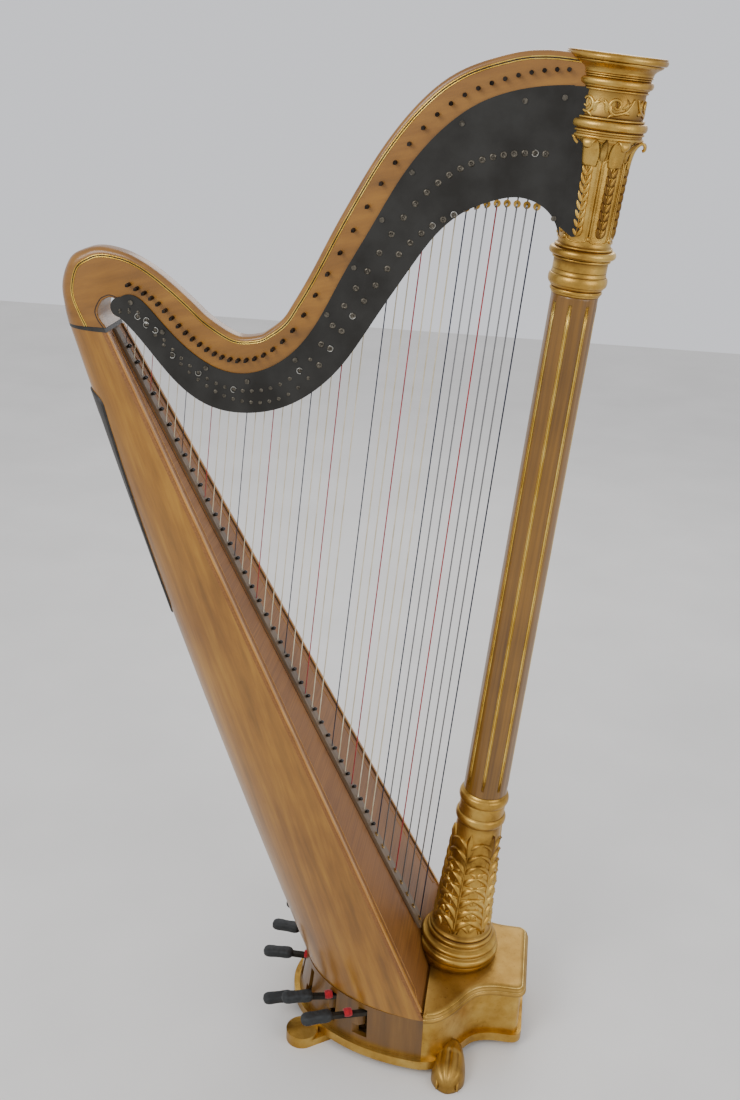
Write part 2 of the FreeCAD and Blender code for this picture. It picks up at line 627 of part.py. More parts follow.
groups = {name: [] for name in (
    "gut", "red", "black", "wire", "pegs", "eyelets", "bridge_pins", "tuning_pins", "naturals", "sharps",
    "spindles")}
spindle_holes = []
pin_holes = []
for number in range(string_count):
    share = number / (string_count - 1)
    radius = 0.5 + 0.7 * share
    down = number * dim("string_pitch")
    foot = board_frame.multVec(Vector(down, 0, rib_height + 0.2 + 0.9 * radius))
    head = crossing(bridge_line, line(foot, foot + string_lean * 1700))
    head.y = string_y
    sweep = 12 - 44 * math.sin(math.pi * share) ** 1.2
    post = crossing(tuning_line, line(Vector(head.x + sweep, 0, 1000), Vector(head.x + sweep, 0, 1900)))
    post.y = string_y
    # the string passes the bridge pin and ends at the side of its tuning pin
    rise = post - head
    rise.normalize()
    side = Vector(rise.z, 0, -rise.x)
    post_centre = post + side * (pin_radius + radius + 0.1)
    string = cylinder(foot, head, radius).fuse([Part.makeSphere(radius, head), cylinder(head, post, radius)])
    note = number % 7
    colour = {0: "black", 3: "red"}.get(note, "wire" if number >= wire_start else "gut")
    groups[colour].append(string.Solids[0])
    bridge_centre = head + Vector(bridge_radius + radius + 0.15, 0, 0)
    bridge_foot = Vector(bridge_centre.x, left_face, bridge_centre.z)
    groups["bridge_pins"].append(
        cylinder(bridge_foot, bridge_foot + across * (dim("string_offset") + 3), bridge_radius))
    # a tuning pin runs through the neck: string end on the left, square end on the right
    pin_start = Vector(post_centre.x, neck_right - 7, post_centre.z)
    pin_end = Vector(post_centre.x, string_y + 6, post_centre.z)
    pin = cylinder(pin_start, pin_end, pin_radius)
    key = Part.makeBox(4.4, 8, 4.4, Vector(post_centre.x - 2.2, neck_right - 15, post_centre.z - 2.2))
    groups["tuning_pins"].append(pin.fuse(key).removeSplitter())
    pin_holes.append(cylinder(pin_start, pin_end, pin_radius + 0.05))
    # discs on the left plate, one semitone and two semitones below the bridge pin
    prong = 0.8 + 0.9 * share
    disc_gap = (head - foot).Length * (natural_share - sharp_share)
    size = min(2.9 + 2.9 * share, 0.46 * disc_gap)
    spread = max(size - 0.8 * prong, radius + prong / 2 + 0.15)
    for share_down, group in ((natural_share, "naturals"), (sharp_share, "sharps")):
        centre = foot + (head - foot) * share_down
        groups[group].append(forked_disc(centre, size, prong, spread))
        start = Vector(centre.x, right_face - 1.6, centre.z)
        end = Vector(centre.x, left_face + 1.2, centre.z)
        groups["spindles"].append(cylinder(start, end, 1.5))
        spindle_holes.append(cylinder(start - across * 9, end + across * 9, 1.55))
    # gut strings end at a peg in the rib, wound strings in an eyelet
    if number < wire_start:
        peg_place = board_frame.multVec(Vector(down + 5.2 + radius, 0, rib_height + 0.05))
        peg = Part.makeCone(2.4, 3.2, 4, peg_place, board_out)
        peg = peg.fuse(Part.makeSphere(3.4, peg_place + board_out * 5))
        groups["pegs"].append(peg.removeSplitter())
    else:
        rim_place = board_frame.multVec(Vector(down, 0, rib_height + 0.05))
        rim = Part.makeCylinder(4.6, 1.4, rim_place, board_out)
        passage = Part.makeCylinder(radius + 0.3, 12, foot - string_lean * 6, string_lean)
        hole = Part.makeCylinder(radius + 1.2, 3, rim_place - board_out, board_out)
        groups["eyelets"].append(rim.cut([hole, passage]))

# plate screws, each with a rounded head outside its plate
RIGHT_SCREWS = [
    (-600, 1361), (-549, 1317), (-478, 1264), (-410, 1247), (-332, 1288), (-283, 1364), (-243, 1439),
    (-203, 1513), (-161, 1584), (-92, 1656), (-4, 1691), (52, 1698), (52, 1530)]
LEFT_SCREWS = [(-560, 1284), (-455, 1204), (-330, 1232), (-236, 1334), (-140, 1484), (30, 1560), (36, 1660)]
screws = []
screw_holes = []
for places, face, inward in ((RIGHT_SCREWS, right_face, 1), (LEFT_SCREWS, left_face, -1)):
    for x, z in places:
        seat = Vector(x, face, z)
        head = Part.makeCylinder(4, 1.6, seat - across * inward * 1.6, across * inward)
        shank = Part.makeCylinder(1.9, plate + 8, seat, across * inward)
        screws.append(head.fuse(shank).removeSplitter())
        screw_holes.append(Part.makeCylinder(1.95, plate + 9, seat - across * inward * 0.5, across * inward))

neck = neck.cut(pin_holes + spindle_holes + screw_holes)
feature("neck", neck.removeSplitter())
for label, y in (("action_plate_right", right_face), ("action_plate_left", neck_left)):
    feature(label, plate_prism(y).cut(plate_cut).cut(spindle_holes + screw_holes))
feature("plate_screws", Part.makeCompound(screws))

for label, name in (
        ("strings_gut", "gut"), ("strings_red", "red"), ("strings_black", "black"), ("strings_wire", "wire"),
        ("string_pegs", "pegs"), ("string_eyelets", "eyelets"), ("bridge_pins", "bridge_pins"),
        ("tuning_pins", "tuning_pins"), ("discs_natural", "naturals"), ("discs_sharp", "sharps"),
        ("disc_spindles", "spindles")):
    feature(label, Part.makeCompound(groups[name]))

# ================================================================ pedals
pivot = Vector(dim("pivot_x"), 0, dim("pivot_z"))
pitch = dim("pedal_pitch")
half_travel = dim("pedal_travel") / 2
axle_radius = dim("axle_radius")
arm_height = 12
rod_radius = dim("rod_radius")
knee_x = -20
rod_x = 0
rod_top = 1480


def bar(start, end, width, height):
    """A flat bar with round ends, lying between two points at the same height."""
    run = end - start
    solid = Part.makeBox(run.Length, width, height, Vector(0, -width / 2, -height / 2))
    solid.Placement = Placement(start, Rotation(Vector(1, 0, 0), run))
    ends = [Part.makeCylinder(width / 2, height, p - Vector(0, 0, height / 2)) for p in (start, end)]
    return solid.fuse(ends)


def axle_bore(clearance):
    return cylinder(pivot - across * 60, pivot + across * 60, axle_radius + clearance)


axle_half = 3 * pitch + 17
axle = doc.addObject("Part::Cylinder", "pedal_axle")
axle.setExpression("Radius", "Dims.axle_radius")
axle.setExpression("Height", "Dims.pedal_pitch * 6 + 34")
axle.Placement = shift.multiply(Placement(pivot - across * axle_half, Rotation(Vector(1, 0, 0), -90)))
keep(axle, "pedal_axle")
cheeks = []
for side in (-1, 1):
    middle = side * (axle_half - 4)
    cheek_foot = Vector(pivot.x - 10, middle - 3, moulding_top - 6)
    cheek = block(cheek_foot, Vector(pivot.x + 10, middle + 3, pivot.z + 10))
    cheeks.append(cheek.cut(axle_bore(0)))
feature("axle_brackets", Part.makeCompound(cheeks))
hub_width = pitch - 2
springs = []
for order in range(-3, 4):
    start = pivot + across * (order * pitch + hub_width / 2 + 0.2)
    springs.append(Part.makeCylinder(6.5, pitch - hub_width - 0.4, start, across).cut(axle_bore(0.3)))
feature("pedal_springs", Part.makeCompound(springs))

rod_centres = []
for name, order, y, direction, outside, low in PEDALS:
    hub = pivot + across * order * pitch
    wall_x = slot_x(y)
    turn = math.degrees(math.asin(half_travel / (hub.x - wall_x)))
    rest = -turn if low else turn
    out = Rotation(Vector(0, 0, 1), direction).multVec(Vector(-1, 0, 0))
    wall_place = Vector(wall_x, y, pivot.z)
    knee = Vector(knee_x, hub.y, pivot.z)
    elbow = wall_place - out * 26
    tip = wall_place + out * outside
    # the arm runs straight under its rod, spreads towards its slot and ends in the shoe
    arm = bar(hub, knee, 4, arm_height)
    arm = arm.fuse([bar(knee, elbow, 4, arm_height), bar(elbow, tip - out * 8, 9, 9)])
    arm = arm.fuse(cylinder(hub - across * hub_width / 2, hub + across * hub_width / 2, 8))
    arm = arm.cut(axle_bore(0.05)).removeSplitter()
    shoe = bar(tip - out * (dim("shoe_length") - 12), tip - out * 12, 24, 15)
    shoe = shoe.cut(bar(elbow, tip - out * 8, 9, 9))
    tilt = Placement(Vector(0, 0, 0), Rotation(Vector(0, 1, 0), rest), hub)
    for solid, label in ((arm, "pedal_arm_"), (shoe, "pedal_shoe_")):
        solid.Placement = tilt.multiply(solid.Placement)
        feature(label + name, solid)
    # the rod stands on its arm and runs up the column's bore
    arm_top = pivot.z + (hub.x - rod_x) * math.tan(math.radians(rest)) + arm_height / 2
    foot_height = (arm_top + 2 - dim("ring_height")) / math.cos(lean)
    rod_start = column_frame.multVec(Vector(rod_x, hub.y, foot_height))
    rod_end = column_frame.multVec(Vector(rod_x, hub.y, rod_top + foot_height))
    feature("pedal_rod_" + name, cylinder(rod_start, rod_end, rod_radius))
    rod_centres.append(hub.y)
    print(name, "hub", round(hub.x + dim("column_x"), 2), hub.y, hub.z, "half turn", round(turn, 3),
          "low" if low else "high", "rod arm", round(hub.x - rod_start.x, 2))

guide = Part.makeCylinder(dim("column_bore") - 0.1, 8, Vector(0, 0, 1262))
for rod_y in rod_centres:
    guide = guide.cut(Part.makeCylinder(rod_radius + 0.08, 20, Vector(rod_x, rod_y, 1256)))
guide.Placement = column_frame
feature("rod_guide", guide)

# ================================================================ checks and files
doc.recompute()
for thing in doc.Objects:
    if "Invalid" in thing.State or "Error" in thing.State:
        raise RuntimeError(f"{thing.Label} did not compute: {thing.State}")
for thing in nodes:
    if thing.Shape.isNull() or not thing.Shape.isValid():
        raise RuntimeError(f"{thing.Label} has no valid shape")
os.makedirs("parts", exist_ok=True)
whole = FreeCAD.BoundBox()
for thing in nodes:
    thing.Shape.exportStep(f"parts/{thing.Label}.step")
    whole.add(thing.Shape.BoundBox)
print(len(nodes), "nodes")
print("box", [round(v, 1) for v in (whole.XMin, whole.XMax, whole.YMin, whole.YMax, whole.ZMin, whole.ZMax)])
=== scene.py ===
import bpy
import bmesh
import json
import math
import random
from mathutils import Matrix, Vector


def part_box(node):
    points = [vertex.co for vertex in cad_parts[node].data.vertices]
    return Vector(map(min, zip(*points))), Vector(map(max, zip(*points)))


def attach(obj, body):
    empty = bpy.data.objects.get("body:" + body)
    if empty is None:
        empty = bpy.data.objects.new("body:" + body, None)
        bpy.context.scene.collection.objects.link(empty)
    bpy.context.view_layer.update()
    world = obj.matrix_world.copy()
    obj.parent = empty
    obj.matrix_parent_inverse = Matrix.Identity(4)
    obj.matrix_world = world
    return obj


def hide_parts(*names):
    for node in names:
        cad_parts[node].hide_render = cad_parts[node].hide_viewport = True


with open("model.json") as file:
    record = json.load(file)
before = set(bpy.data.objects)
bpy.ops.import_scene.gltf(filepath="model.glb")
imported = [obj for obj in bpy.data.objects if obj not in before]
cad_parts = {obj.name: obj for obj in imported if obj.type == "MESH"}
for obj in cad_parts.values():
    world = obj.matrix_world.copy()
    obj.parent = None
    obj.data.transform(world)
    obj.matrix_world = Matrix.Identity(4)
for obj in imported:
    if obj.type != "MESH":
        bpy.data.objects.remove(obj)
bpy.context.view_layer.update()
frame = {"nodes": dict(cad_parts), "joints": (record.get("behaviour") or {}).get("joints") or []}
nodes = frame["nodes"]
joints = {j["name"]: j for j in frame["joints"]}
random.seed(7)
print("frame loaded:", len(nodes), "nodes")


# small helpers for meshes

def angles(count):
    return [2 * math.pi * j / count for j in range(count)]


def newMesh(name, verts, faces, material, smooth=True):
    mesh = bpy.data.meshes.new(name)
    mesh.from_pydata([tuple(v) for v in verts], [], faces)
    mesh.validate()
    bm = bmesh.new()
    bm.from_mesh(mesh)
    bmesh.ops.recalc_face_normals(bm, faces=bm.faces)
    bm.to_mesh(mesh)
    bm.free()
    piece = bpy.data.objects.new(name, mesh)
    bpy.context.scene.collection.objects.link(piece)
    piece.data.materials.append(material)
    if smooth:
        mesh.shade_smooth()
    return piece


def addPiece(piece, body, slotName, *replaced):
    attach(piece, body)
    if replaced:
        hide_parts(*replaced)
    return piece


def joinParts(name, parts):
    # several meshes become one object, each keeping its own material
    bm = bmesh.new()
    materials = []
    for part in parts:
        start = len(bm.faces)
        mesh = part.data
        mesh.transform(part.matrix_world)
        bm.from_mesh(mesh)
        bm.faces.ensure_lookup_table()
        material = mesh.materials[0]
        if material not in materials:
            materials.append(material)
        for face in bm.faces[start:]:
            face.material_index = materials.index(material)
        bpy.data.objects.remove(part)
    mesh = bpy.data.meshes.new(name)
    bm.to_mesh(mesh)
    bm.free()
    for material in materials:
        mesh.materials.append(material)
    joined = bpy.data.objects.new(name, mesh)
    bpy.context.scene.collection.objects.link(joined)
    return joined


def sharpByAngle(piece, degrees=35):
    piece.data.shade_smooth()
    piece.data.set_sharp_from_angle(angle=math.radians(degrees))
    return piece


def smoothLine(points, steps):
    # Catmull-Rom through the given points
    out = []
    ends = [points[0] * 2 - points[1]] + list(points) + [points[-1] * 2 - points[-2]]
    for i in range(1, len(ends) - 2):
        a, b, c, d = ends[i - 1:i + 3]
        for k in range(steps):
            t = k / steps
            out.append(0.5 * ((2 * b) + (c - a) * t + (2 * a - 5 * b + 4 * c - d) * t * t
                              + (3 * b - a - 3 * c + d) * t ** 3))
    out.append(points[-1].copy())
    return out


def evenLine(points, count):
    lengths = [0.0]
    for a, b in zip(points, points[1:]):
        lengths.append(lengths[-1] + (b - a).length)
    out = []
    j = 0
    for i in range(count):
        want = lengths[-1] * i / (count - 1)
        while j < len(points) - 2 and lengths[j + 1] < want:
            j += 1
        span = lengths[j + 1] - lengths[j] or 1e-9
        out.append(points[j].lerp(points[j + 1], (want - lengths[j]) / span))
    return out


def tube(name, points, radius, material, sides=8, closed=False, taper=None):
    verts, faces = [], []
    count = len(points)
    side = None
    for i, p in enumerate(points):
        ahead = points[(i + 1) % count] if closed or i < count - 1 else p
        behind = points[i - 1] if closed or i > 0 else p
        along = (ahead - behind).normalized()
        if side is None:
            side = along.orthogonal().normalized()
        side = (side - along * side.dot(along)).normalized()
        up = along.cross(side)
        r = radius * (taper(i / (count - 1)) if taper else 1)
        for k in range(sides):
            a = 2 * math.pi * k / sides
            verts.append(p + side * (r * math.cos(a)) + up * (r * math.sin(a)))
    rings = count if closed else count - 1
    for i in range(rings):
        for k in range(sides):
            a, b = i * sides + k, i * sides + (k + 1) % sides
            c, d = ((i + 1) % count) * sides + (k + 1) % sides, ((i + 1) % count) * sides + k
            faces.append((a, b, c, d))
    if not closed:
        faces.append(tuple(range(sides))[::-1])
        faces.append(tuple((count - 1) * sides + k for k in range(sides)))
    return newMesh(name, verts, faces, material)


def skinRings(name, rings, material, closedEnds=True, loop=False):
    verts = [p for ring in rings for p in ring]
    count = len(rings[0])
    faces = []
    last = len(rings) if loop else len(rings) - 1
    for i in range(last):
        for k in range(count):
            j = (i + 1) % len(rings)
            faces.append((i * count + k, i * count + (k + 1) % count, j * count + (k + 1) % count,
                          j * count + k))
    if closedEnds and not loop:
        faces.append(tuple(range(count))[::-1])
        faces.append(tuple(len(verts) - count + k for k in range(count)))
    return newMesh(name, verts, faces, material)


def islands(nodeName):
    # boxes of the separate solids in one CAD node
    mesh = nodes[nodeName].data
    parent = list(range(len(mesh.vertices)))

    def root(i):
        while parent[i] != i:
            parent[i] = parent[parent[i]]
            i = parent[i]
        return i

    seen = {}
    for v in mesh.vertices:
        key = tuple(round(c, 6) for c in v.co)
        if key in seen:
            parent[root(v.index)] = root(seen[key])
        else:
            seen[key] = v.index
    for edge in mesh.edges:
        parent[root(edge.vertices[0])] = root(edge.vertices[1])
    groups = {}
    for v in mesh.vertices:
        groups.setdefault(root(v.index), []).append(v.co)
    boxes = []
    for points in groups.values():
        low = Vector([min(p[k] for p in points) for k in range(3)])
        high = Vector([max(p[k] for p in points) for k in range(3)])
        boxes.append((low, high))
    return sorted(boxes, key=lambda b: b[0].x)


def sectionLoop(nodeName, z):
    # the longest closed outline where a level cuts a CAD node
    bm = bmesh.new()
    bm.from_mesh(nodes[nodeName].data)
    bmesh.ops.remove_doubles(bm, verts=bm.verts, dist=1e-5)
    cut = bmesh.ops.bisect_plane(
        bm, geom=bm.verts[:] + bm.edges[:] + bm.faces[:], plane_co=(0, 0, z), plane_no=(0, 0, 1),
        clear_inner=True, clear_outer=True)
    edges = [e for e in cut["geom_cut"] if isinstance(e, bmesh.types.BMEdge)]
    links = {}
    for e in edges:
        a, b = e.verts
        links.setdefault(a, []).append(b)
        links.setdefault(b, []).append(a)
    best, left = [], set(links)
    while left:
        start = left.pop()
        loop = [start]
        while True:
            ahead = [v for v in links[loop[-1]] if v in left]
            if not ahead:
                break
            loop.append(ahead[0])
            left.discard(ahead[0])
        if len(loop) > len(best):
            best = loop
    points = [v.co.copy() for v in best]
    bm.free()
    return points


# materials

def linear(hexColour):
    # sRGB hex to linear RGBA
    h = hexColour.lstrip("#")
    out = []
    for i in (0, 2, 4):
        c = int(h[i:i + 2], 16) / 255
        out.append(c / 12.92 if c <= 0.04045 else ((c + 0.055) / 1.055) ** 2.4)
    return (*out, 1.0)


def addNode(tree, kind, settings=None, links=None):
    node = tree.nodes.new(kind)
    for key, value in (settings or {}).items():
        if isinstance(key, int) or key in node.inputs:
            node.inputs[key].default_value = value
        else:
            setattr(node, key, value)
    for key, source in (links or {}).items():
        tree.links.new(source, node.inputs[key])
    return node


def ramp(tree, source, stops):
    node = addNode(tree, "ShaderNodeValToRGB", links={"Fac": source})
    elements = node.color_ramp.elements
    while len(elements) < len(stops):
        elements.new(0.5)
    for element, (place, colour) in zip(elements, stops):
        element.position = place
        element.color = linear(colour) if isinstance(colour, str) else (colour, colour, colour, 1)
    return node.outputs["Color"]


def startMaterial(name, base):
    material = bpy.data.materials.new(name)
    material.use_nodes = True
    tree = material.node_tree
    shader = tree.nodes["Principled BSDF"]
    for key, value in base.items():
        shader.inputs[key].default_value = value
    place = addNode(tree, "ShaderNodeNewGeometry").outputs["Position"]
    return material, tree, shader, place


def mm(size):
    # cycles per metre for a pattern that repeats every so many millimetres
    return 1000 / size


# burnished water gilding over red bole: warm metal, duller and redder where rubbed, and darkened to the bole
# colour in the hollows as painted shade
gilding = {"leaf": "#b48c40", "light": "#d6b564", "deep": "#76531f", "bole": "#553417", "roughness": 0.34,
           "leafSize": 85, "grit": 2.2, "strength": 0.35}


def makeGilding(name, spec, rubbed=0.5):
    material, tree, shader, place = startMaterial(name, {"Metallic": 0.92, "Roughness": spec["roughness"]})
    cloud = addNode(tree, "ShaderNodeTexNoise",
                    {"Scale": mm(spec["leafSize"]), "Detail": 6.0, "Roughness": 0.6},
                    {"Vector": place})
    tone = ramp(tree, cloud.outputs["Fac"],
                [(0.3, spec["deep"]), (0.48, spec["leaf"]), (0.72, spec["light"])])
    # painted shade: concave places found by pointiness take the dark bole colour
    edge = addNode(tree, "ShaderNodeNewGeometry").outputs["Pointiness"]
    hollow = ramp(tree, edge, [(0.44, 1.0), (0.5, 0.0)])
    wear = addNode(tree, "ShaderNodeTexNoise", {"Scale": mm(9), "Detail": 8.0, "Roughness": 0.7},
                   {"Vector": place})
    rub = ramp(tree, wear.outputs["Fac"], [(0.60, 0.0), (0.70, rubbed)])
    # rubbed wear together with the painted shade in the hollows
    wearAndHollowShade = addNode(tree, "ShaderNodeMath", {"operation": "MAXIMUM"}, {0: hollow, 1: rub})
    mix = addNode(tree, "ShaderNodeMix", {"data_type": "RGBA", "blend_type": "MIX"},
                  {0: wearAndHollowShade.outputs[0], 6: tone})
    mix.inputs[7].default_value = linear(spec["bole"])
    tree.links.new(mix.outputs[2], shader.inputs["Base Color"])
    rough = ramp(tree, wearAndHollowShade.outputs[0], [(0.0, spec["roughness"]), (1.0, 0.62)])
    tree.links.new(rough, shader.inputs["Roughness"])
    grit = addNode(tree, "ShaderNodeTexNoise", {"Scale": mm(spec["grit"]), "Detail": 4.0}, {"Vector": place})
    bump = addNode(tree, "ShaderNodeBump", {"Strength": spec["strength"], "Distance": 0.0006},
                   {"Height": grit.outputs["Fac"]})
    tree.links.new(bump.outputs["Normal"], shader.inputs["Normal"])
    return material


# varnished timber: long streaks along the grain with fine pores across it
def makeWood(name, light, mid, dark, lean=0.0, streak=14, stretch=40, roughness=0.32, coat=0.25,
             acrossHarp=False):
    material, tree, shader, place = startMaterial(
        name, {"Roughness": roughness, "Coat Weight": coat, "Coat Roughness": 0.18})
    turn = addNode(tree, "ShaderNodeVectorRotate", {"rotation_type": "Y_AXIS", "Angle": -lean},
                   {"Vector": place})
    thin = (mm(streak), mm(streak * stretch), mm(streak)) if acrossHarp else (
        mm(streak), mm(streak), mm(streak * stretch))
    spread = addNode(tree, "ShaderNodeVectorMath", {"operation": "MULTIPLY", 1: thin}, {0: turn.outputs[0]})
    grain = addNode(tree, "ShaderNodeTexNoise", {"Scale": 1.0, "Detail": 7.0, "Roughness": 0.62},
                    {"Vector": spread.outputs[0]})
    tone = ramp(tree, grain.outputs["Fac"], [(0.28, dark), (0.5, mid), (0.72, light)])
    cloud = addNode(tree, "ShaderNodeTexNoise", {"Scale": mm(170), "Detail": 3.0}, {"Vector": place})
    shade = ramp(tree, cloud.outputs["Fac"], [(0.3, dark), (0.62, light)])
    mix = addNode(tree, "ShaderNodeMix", {"data_type": "RGBA", "blend_type": "MIX", 0: 0.3},
                  {6: tone, 7: shade})
    tree.links.new(mix.outputs[2], shader.inputs["Base Color"])
    poreScale = (mm(1.1), mm(16), mm(1.1)) if acrossHarp else (mm(1.1), mm(1.1), mm(16))
    pore = addNode(tree, "ShaderNodeVectorMath", {"operation": "MULTIPLY", 1: poreScale},
                   {0: turn.outputs[0]})
    fine = addNode(tree, "ShaderNodeTexNoise", {"Scale": 1.0, "Detail": 3.0}, {"Vector": pore.outputs[0]})
    bump = addNode(tree, "ShaderNodeBump", {"Strength": 0.12, "Distance": 0.0004},
                   {"Height": fine.outputs["Fac"]})
    tree.links.new(bump.outputs["Normal"], shader.inputs["Normal"])
    return material


# cast and turned metal with faint mottling
def makeMetal(name, colour, shade, roughness, metallic=1.0, mottle=22, bumpSize=1.5, bumpStrength=0.1):
    material, tree, shader, place = startMaterial(name, {"Metallic": metallic, "Roughness": roughness})
    cloud = addNode(tree, "ShaderNodeTexNoise", {"Scale": mm(mottle), "Detail": 6.0}, {"Vector": place})
    tone = ramp(tree, cloud.outputs["Fac"], [(0.35, shade), (0.62, colour)])
    tree.links.new(tone, shader.inputs["Base Color"])
    rough = ramp(tree, cloud.outputs["Fac"], [(0.3, roughness + 0.1), (0.7, roughness - 0.04)])
    tree.links.new(rough, shader.inputs["Roughness"])
    fine = addNode(tree, "ShaderNodeTexNoise", {"Scale": mm(bumpSize), "Detail": 2.0}, {"Vector": place})
    bump = addNode(tree, "ShaderNodeBump", {"Strength": bumpStrength, "Distance": 0.0003},
                   {"Height": fine.outputs["Fac"]})
    tree.links.new(bump.outputs["Normal"], shader.inputs["Normal"])
    return material


def makeDull(name, colour, shade, roughness, grain=2.5, strength=0.2, ior=1.5, sheen=0.0):
    material, tree, shader, place = startMaterial(
        name, {"Roughness": roughness, "IOR": ior, "Sheen Weight": sheen})
    cloud = addNode(tree, "ShaderNodeTexNoise", {"Scale": mm(grain * 6), "Detail": 5.0}, {"Vector": place})
    tone = ramp(tree, cloud.outputs["Fac"], [(0.3, shade), (0.7, colour)])
    tree.links.new(tone, shader.inputs["Base Color"])
    fine = addNode(tree, "ShaderNodeTexNoise", {"Scale": mm(grain), "Detail": 3.0}, {"Vector": place})
    bump = addNode(tree, "ShaderNodeBump", {"Strength": strength, "Distance": 0.0004},
                   {"Height": fine.outputs["Fac"]})
    tree.links.new(bump.outputs["Normal"], shader.inputs["Normal"])
    return material


# copper or steel winding: fine rings across the string, drawn coarser than life so that they show
def makeWinding(name, colour, shade, pitch=1.6):
    material, tree, shader, place = startMaterial(name, {"Metallic": 1.0, "Roughness": 0.34})
    wave = addNode(tree, "ShaderNodeTexWave", {"bands_direction": "Z", "Scale": mm(pitch) * 0.314},
                   {"Vector": place})
    tone = ramp(tree, wave.outputs["Fac"], [(0.2, shade), (0.6, colour)])
    tree.links.new(tone, shader.inputs["Base Color"])
    bump = addNode(tree, "ShaderNodeBump", {"Strength": 0.5, "Distance": 0.0003},
                   {"Height": wave.outputs["Fac"]})
    tree.links.new(bump.outputs["Normal"], shader.inputs["Normal"])
    return material


rodAxis = joints["rod_A_slide"]["axis"]
columnLean = math.atan2(-rodAxis[0], -rodAxis[2])
boardLean = -math.radians(26.8)

gilt = makeGilding("waterGilding", gilding)
# darker copy of the gilding, used as painted shade for the grooves between capital panels
giltShaded = makeGilding("waterGildingPaintedShade",
                       {**gilding, "leaf": "#8f6420", "light": "#b98b39", "deep": "#54340f"})
giltWorn = makeGilding("wornGilding",
                       {**gilding, "leaf": "#9c7838", "light": "#b8944f", "deep": "#66471d",
                        "roughness": 0.42},
                       0.7)
giltBright = makeGilding("burnishedGilding",
                         {**gilding, "light": "#ecd48c", "leaf": "#cfa852", "roughness": 0.22}, 0.2)
giltLine = makeGilding("gildedLine", {**gilding, "leaf": "#d8b04c", "light": "#f0d27c", "deep": "#a67c2a",
                                      "roughness": 0.26}, 0.1)
maple = makeWood("varnishedMaple", "#a37424", "#855616", "#5d3b0d", lean=boardLean * 0.82, streak=17)
mapleNeck = makeWood("varnishedMapleNeck", "#9a6a1f", "#7e5214", "#5e3b0d", streak=26, stretch=7, lean=1.3)
spruce = makeWood("varnishedSpruce", "#93622a", "#7a4b19", "#5a3612", streak=2.4, stretch=60,
                  roughness=0.5, coat=0.04, acrossHarp=True)
edgeMaple = makeWood("edgeMaple", "#c28d42", "#a8722e", "#7c4e1c", lean=boardLean, streak=8)
ribBeech = makeWood("oiledBeech", "#7d6850", "#675440", "#463a2e", lean=boardLean, streak=7, roughness=0.5,
                    coat=0.05)
walnut = makeWood("stainedWalnut", "#78541e", "#5d3c10", "#3d270a", streak=20, stretch=14)
walnutShaft = makeWood("stainedWalnutShaft", "#8c611a", "#704c10", "#452b07", lean=columnLean, streak=9,
                       stretch=60)
deal = makeWood("plainDeal", "#9c7b4e", "#866642", "#5f472b", streak=16, stretch=12, roughness=0.6, coat=0.0)
ebonised = makeDull("ebonisedPear", "#2a2620", "#120f0c", 0.42)
darkLine = makeDull("blackPurfling", "#2c1a10", "#170d08", 0.5)
plateBronze = makeMetal("darkBronzedBrass", "#302f2c", "#211f1b", 0.46, metallic=0.5, mottle=60)
bossBronze = makeMetal("bronzedBoss", "#6b655a", "#37332c", 0.36, metallic=0.8, mottle=4)
polishedBrass = makeMetal("polishedBrass", "#c99f4e", "#96702d", 0.24)
brightSteel = makeMetal("brightSteel", "#b4b3ad", "#7d7a72", 0.3)
bluedSteel = makeMetal("bluedSteel", "#3b3632", "#1d1a18", 0.38)
ironArm = makeMetal("blackenedIron", "#37332c", "#1e1b17", 0.5, metallic=0.75, bumpStrength=0.3)
rubber = makeDull("blackRubber", "#26292a", "#121414", 0.62, grain=1.2, strength=0.35)
felt = makeDull("redFelt", "#b5121f", "#7c0a14", 0.95, grain=0.8, strength=0.9, sheen=0.15)
gutPale = makeDull("polishedGut", "#d9cfb6", "#b8a984", 0.3, grain=6)
gutRed = makeDull("redGut", "#a5232b", "#7a1219", 0.32, grain=6)
gutBlack = makeDull("blueBlackGut", "#20243a", "#0f1120", 0.32, grain=6)
windingSteel = makeWinding("woundSteel", "#8f8f90", "#5c5c5e")
pegBlack = makeDull("polishedEbonyPeg", "#1c1916", "#0b0a09", 0.22, grain=3)
print("materials ready")


def paint(material, *names):
    for name in names:
        mesh = nodes[name].data
        if mesh.materials:
            for i in range(len(mesh.materials)):
                mesh.materials[i] = material
        else:
            mesh.materials.append(material)


paint(maple, "body_shell")
paint(spruce, "soundboard")
paint(ribBeech, "string_rib")
paint(edgeMaple, "soundboard_edging")
paint(ebonised, "seam_band", "sound_hole_frame")
paint(deal, "body_ribs", "base_floor", "rod_guide")
paint(walnut, "pedal_box")
paint(walnutShaft, "column_shaft")
paint(gilt, "plinth_wall", "plinth_moulding", "plinth_top", "pedal_box_moulding", "front_feet", "rear_feet",
      "column_base", "capital", "capital_disc")
paint(mapleNeck, "neck")
paint(plateBronze, "action_plate_right", "action_plate_left")
paint(brightSteel, "bridge_pins", "pedal_axle", "axle_brackets", "pedal_springs")
paint(bossBronze, "plate_screws", "disc_spindles")
paint(bluedSteel, "tuning_pins")
paint(polishedBrass, "discs_natural", "discs_sharp", "string_eyelets")
paint(gutPale, "strings_gut")
paint(gutRed, "strings_red")
paint(gutBlack, "strings_black")
paint(windingSteel, "strings_wire")
paint(pegBlack, "string_pegs")
for name in "ABCDEFG":
    paint(ironArm, "pedal_arm_" + name)
    paint(rubber, "pedal_shoe_" + name)
    paint(brightSteel, "pedal_rod_" + name)
print("carried-over nodes painted")


# places read from the frame

columnUp = -Vector(joints["rod_A_slide"]["axis"]).normalized()
guideLow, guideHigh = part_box("rod_guide")
columnFoot = (guideLow + guideHigh) / 2 - columnUp * 1.266
columnFront = Vector((columnUp.z, 0, -columnUp.x))
leftward = Vector((0, 1, 0))


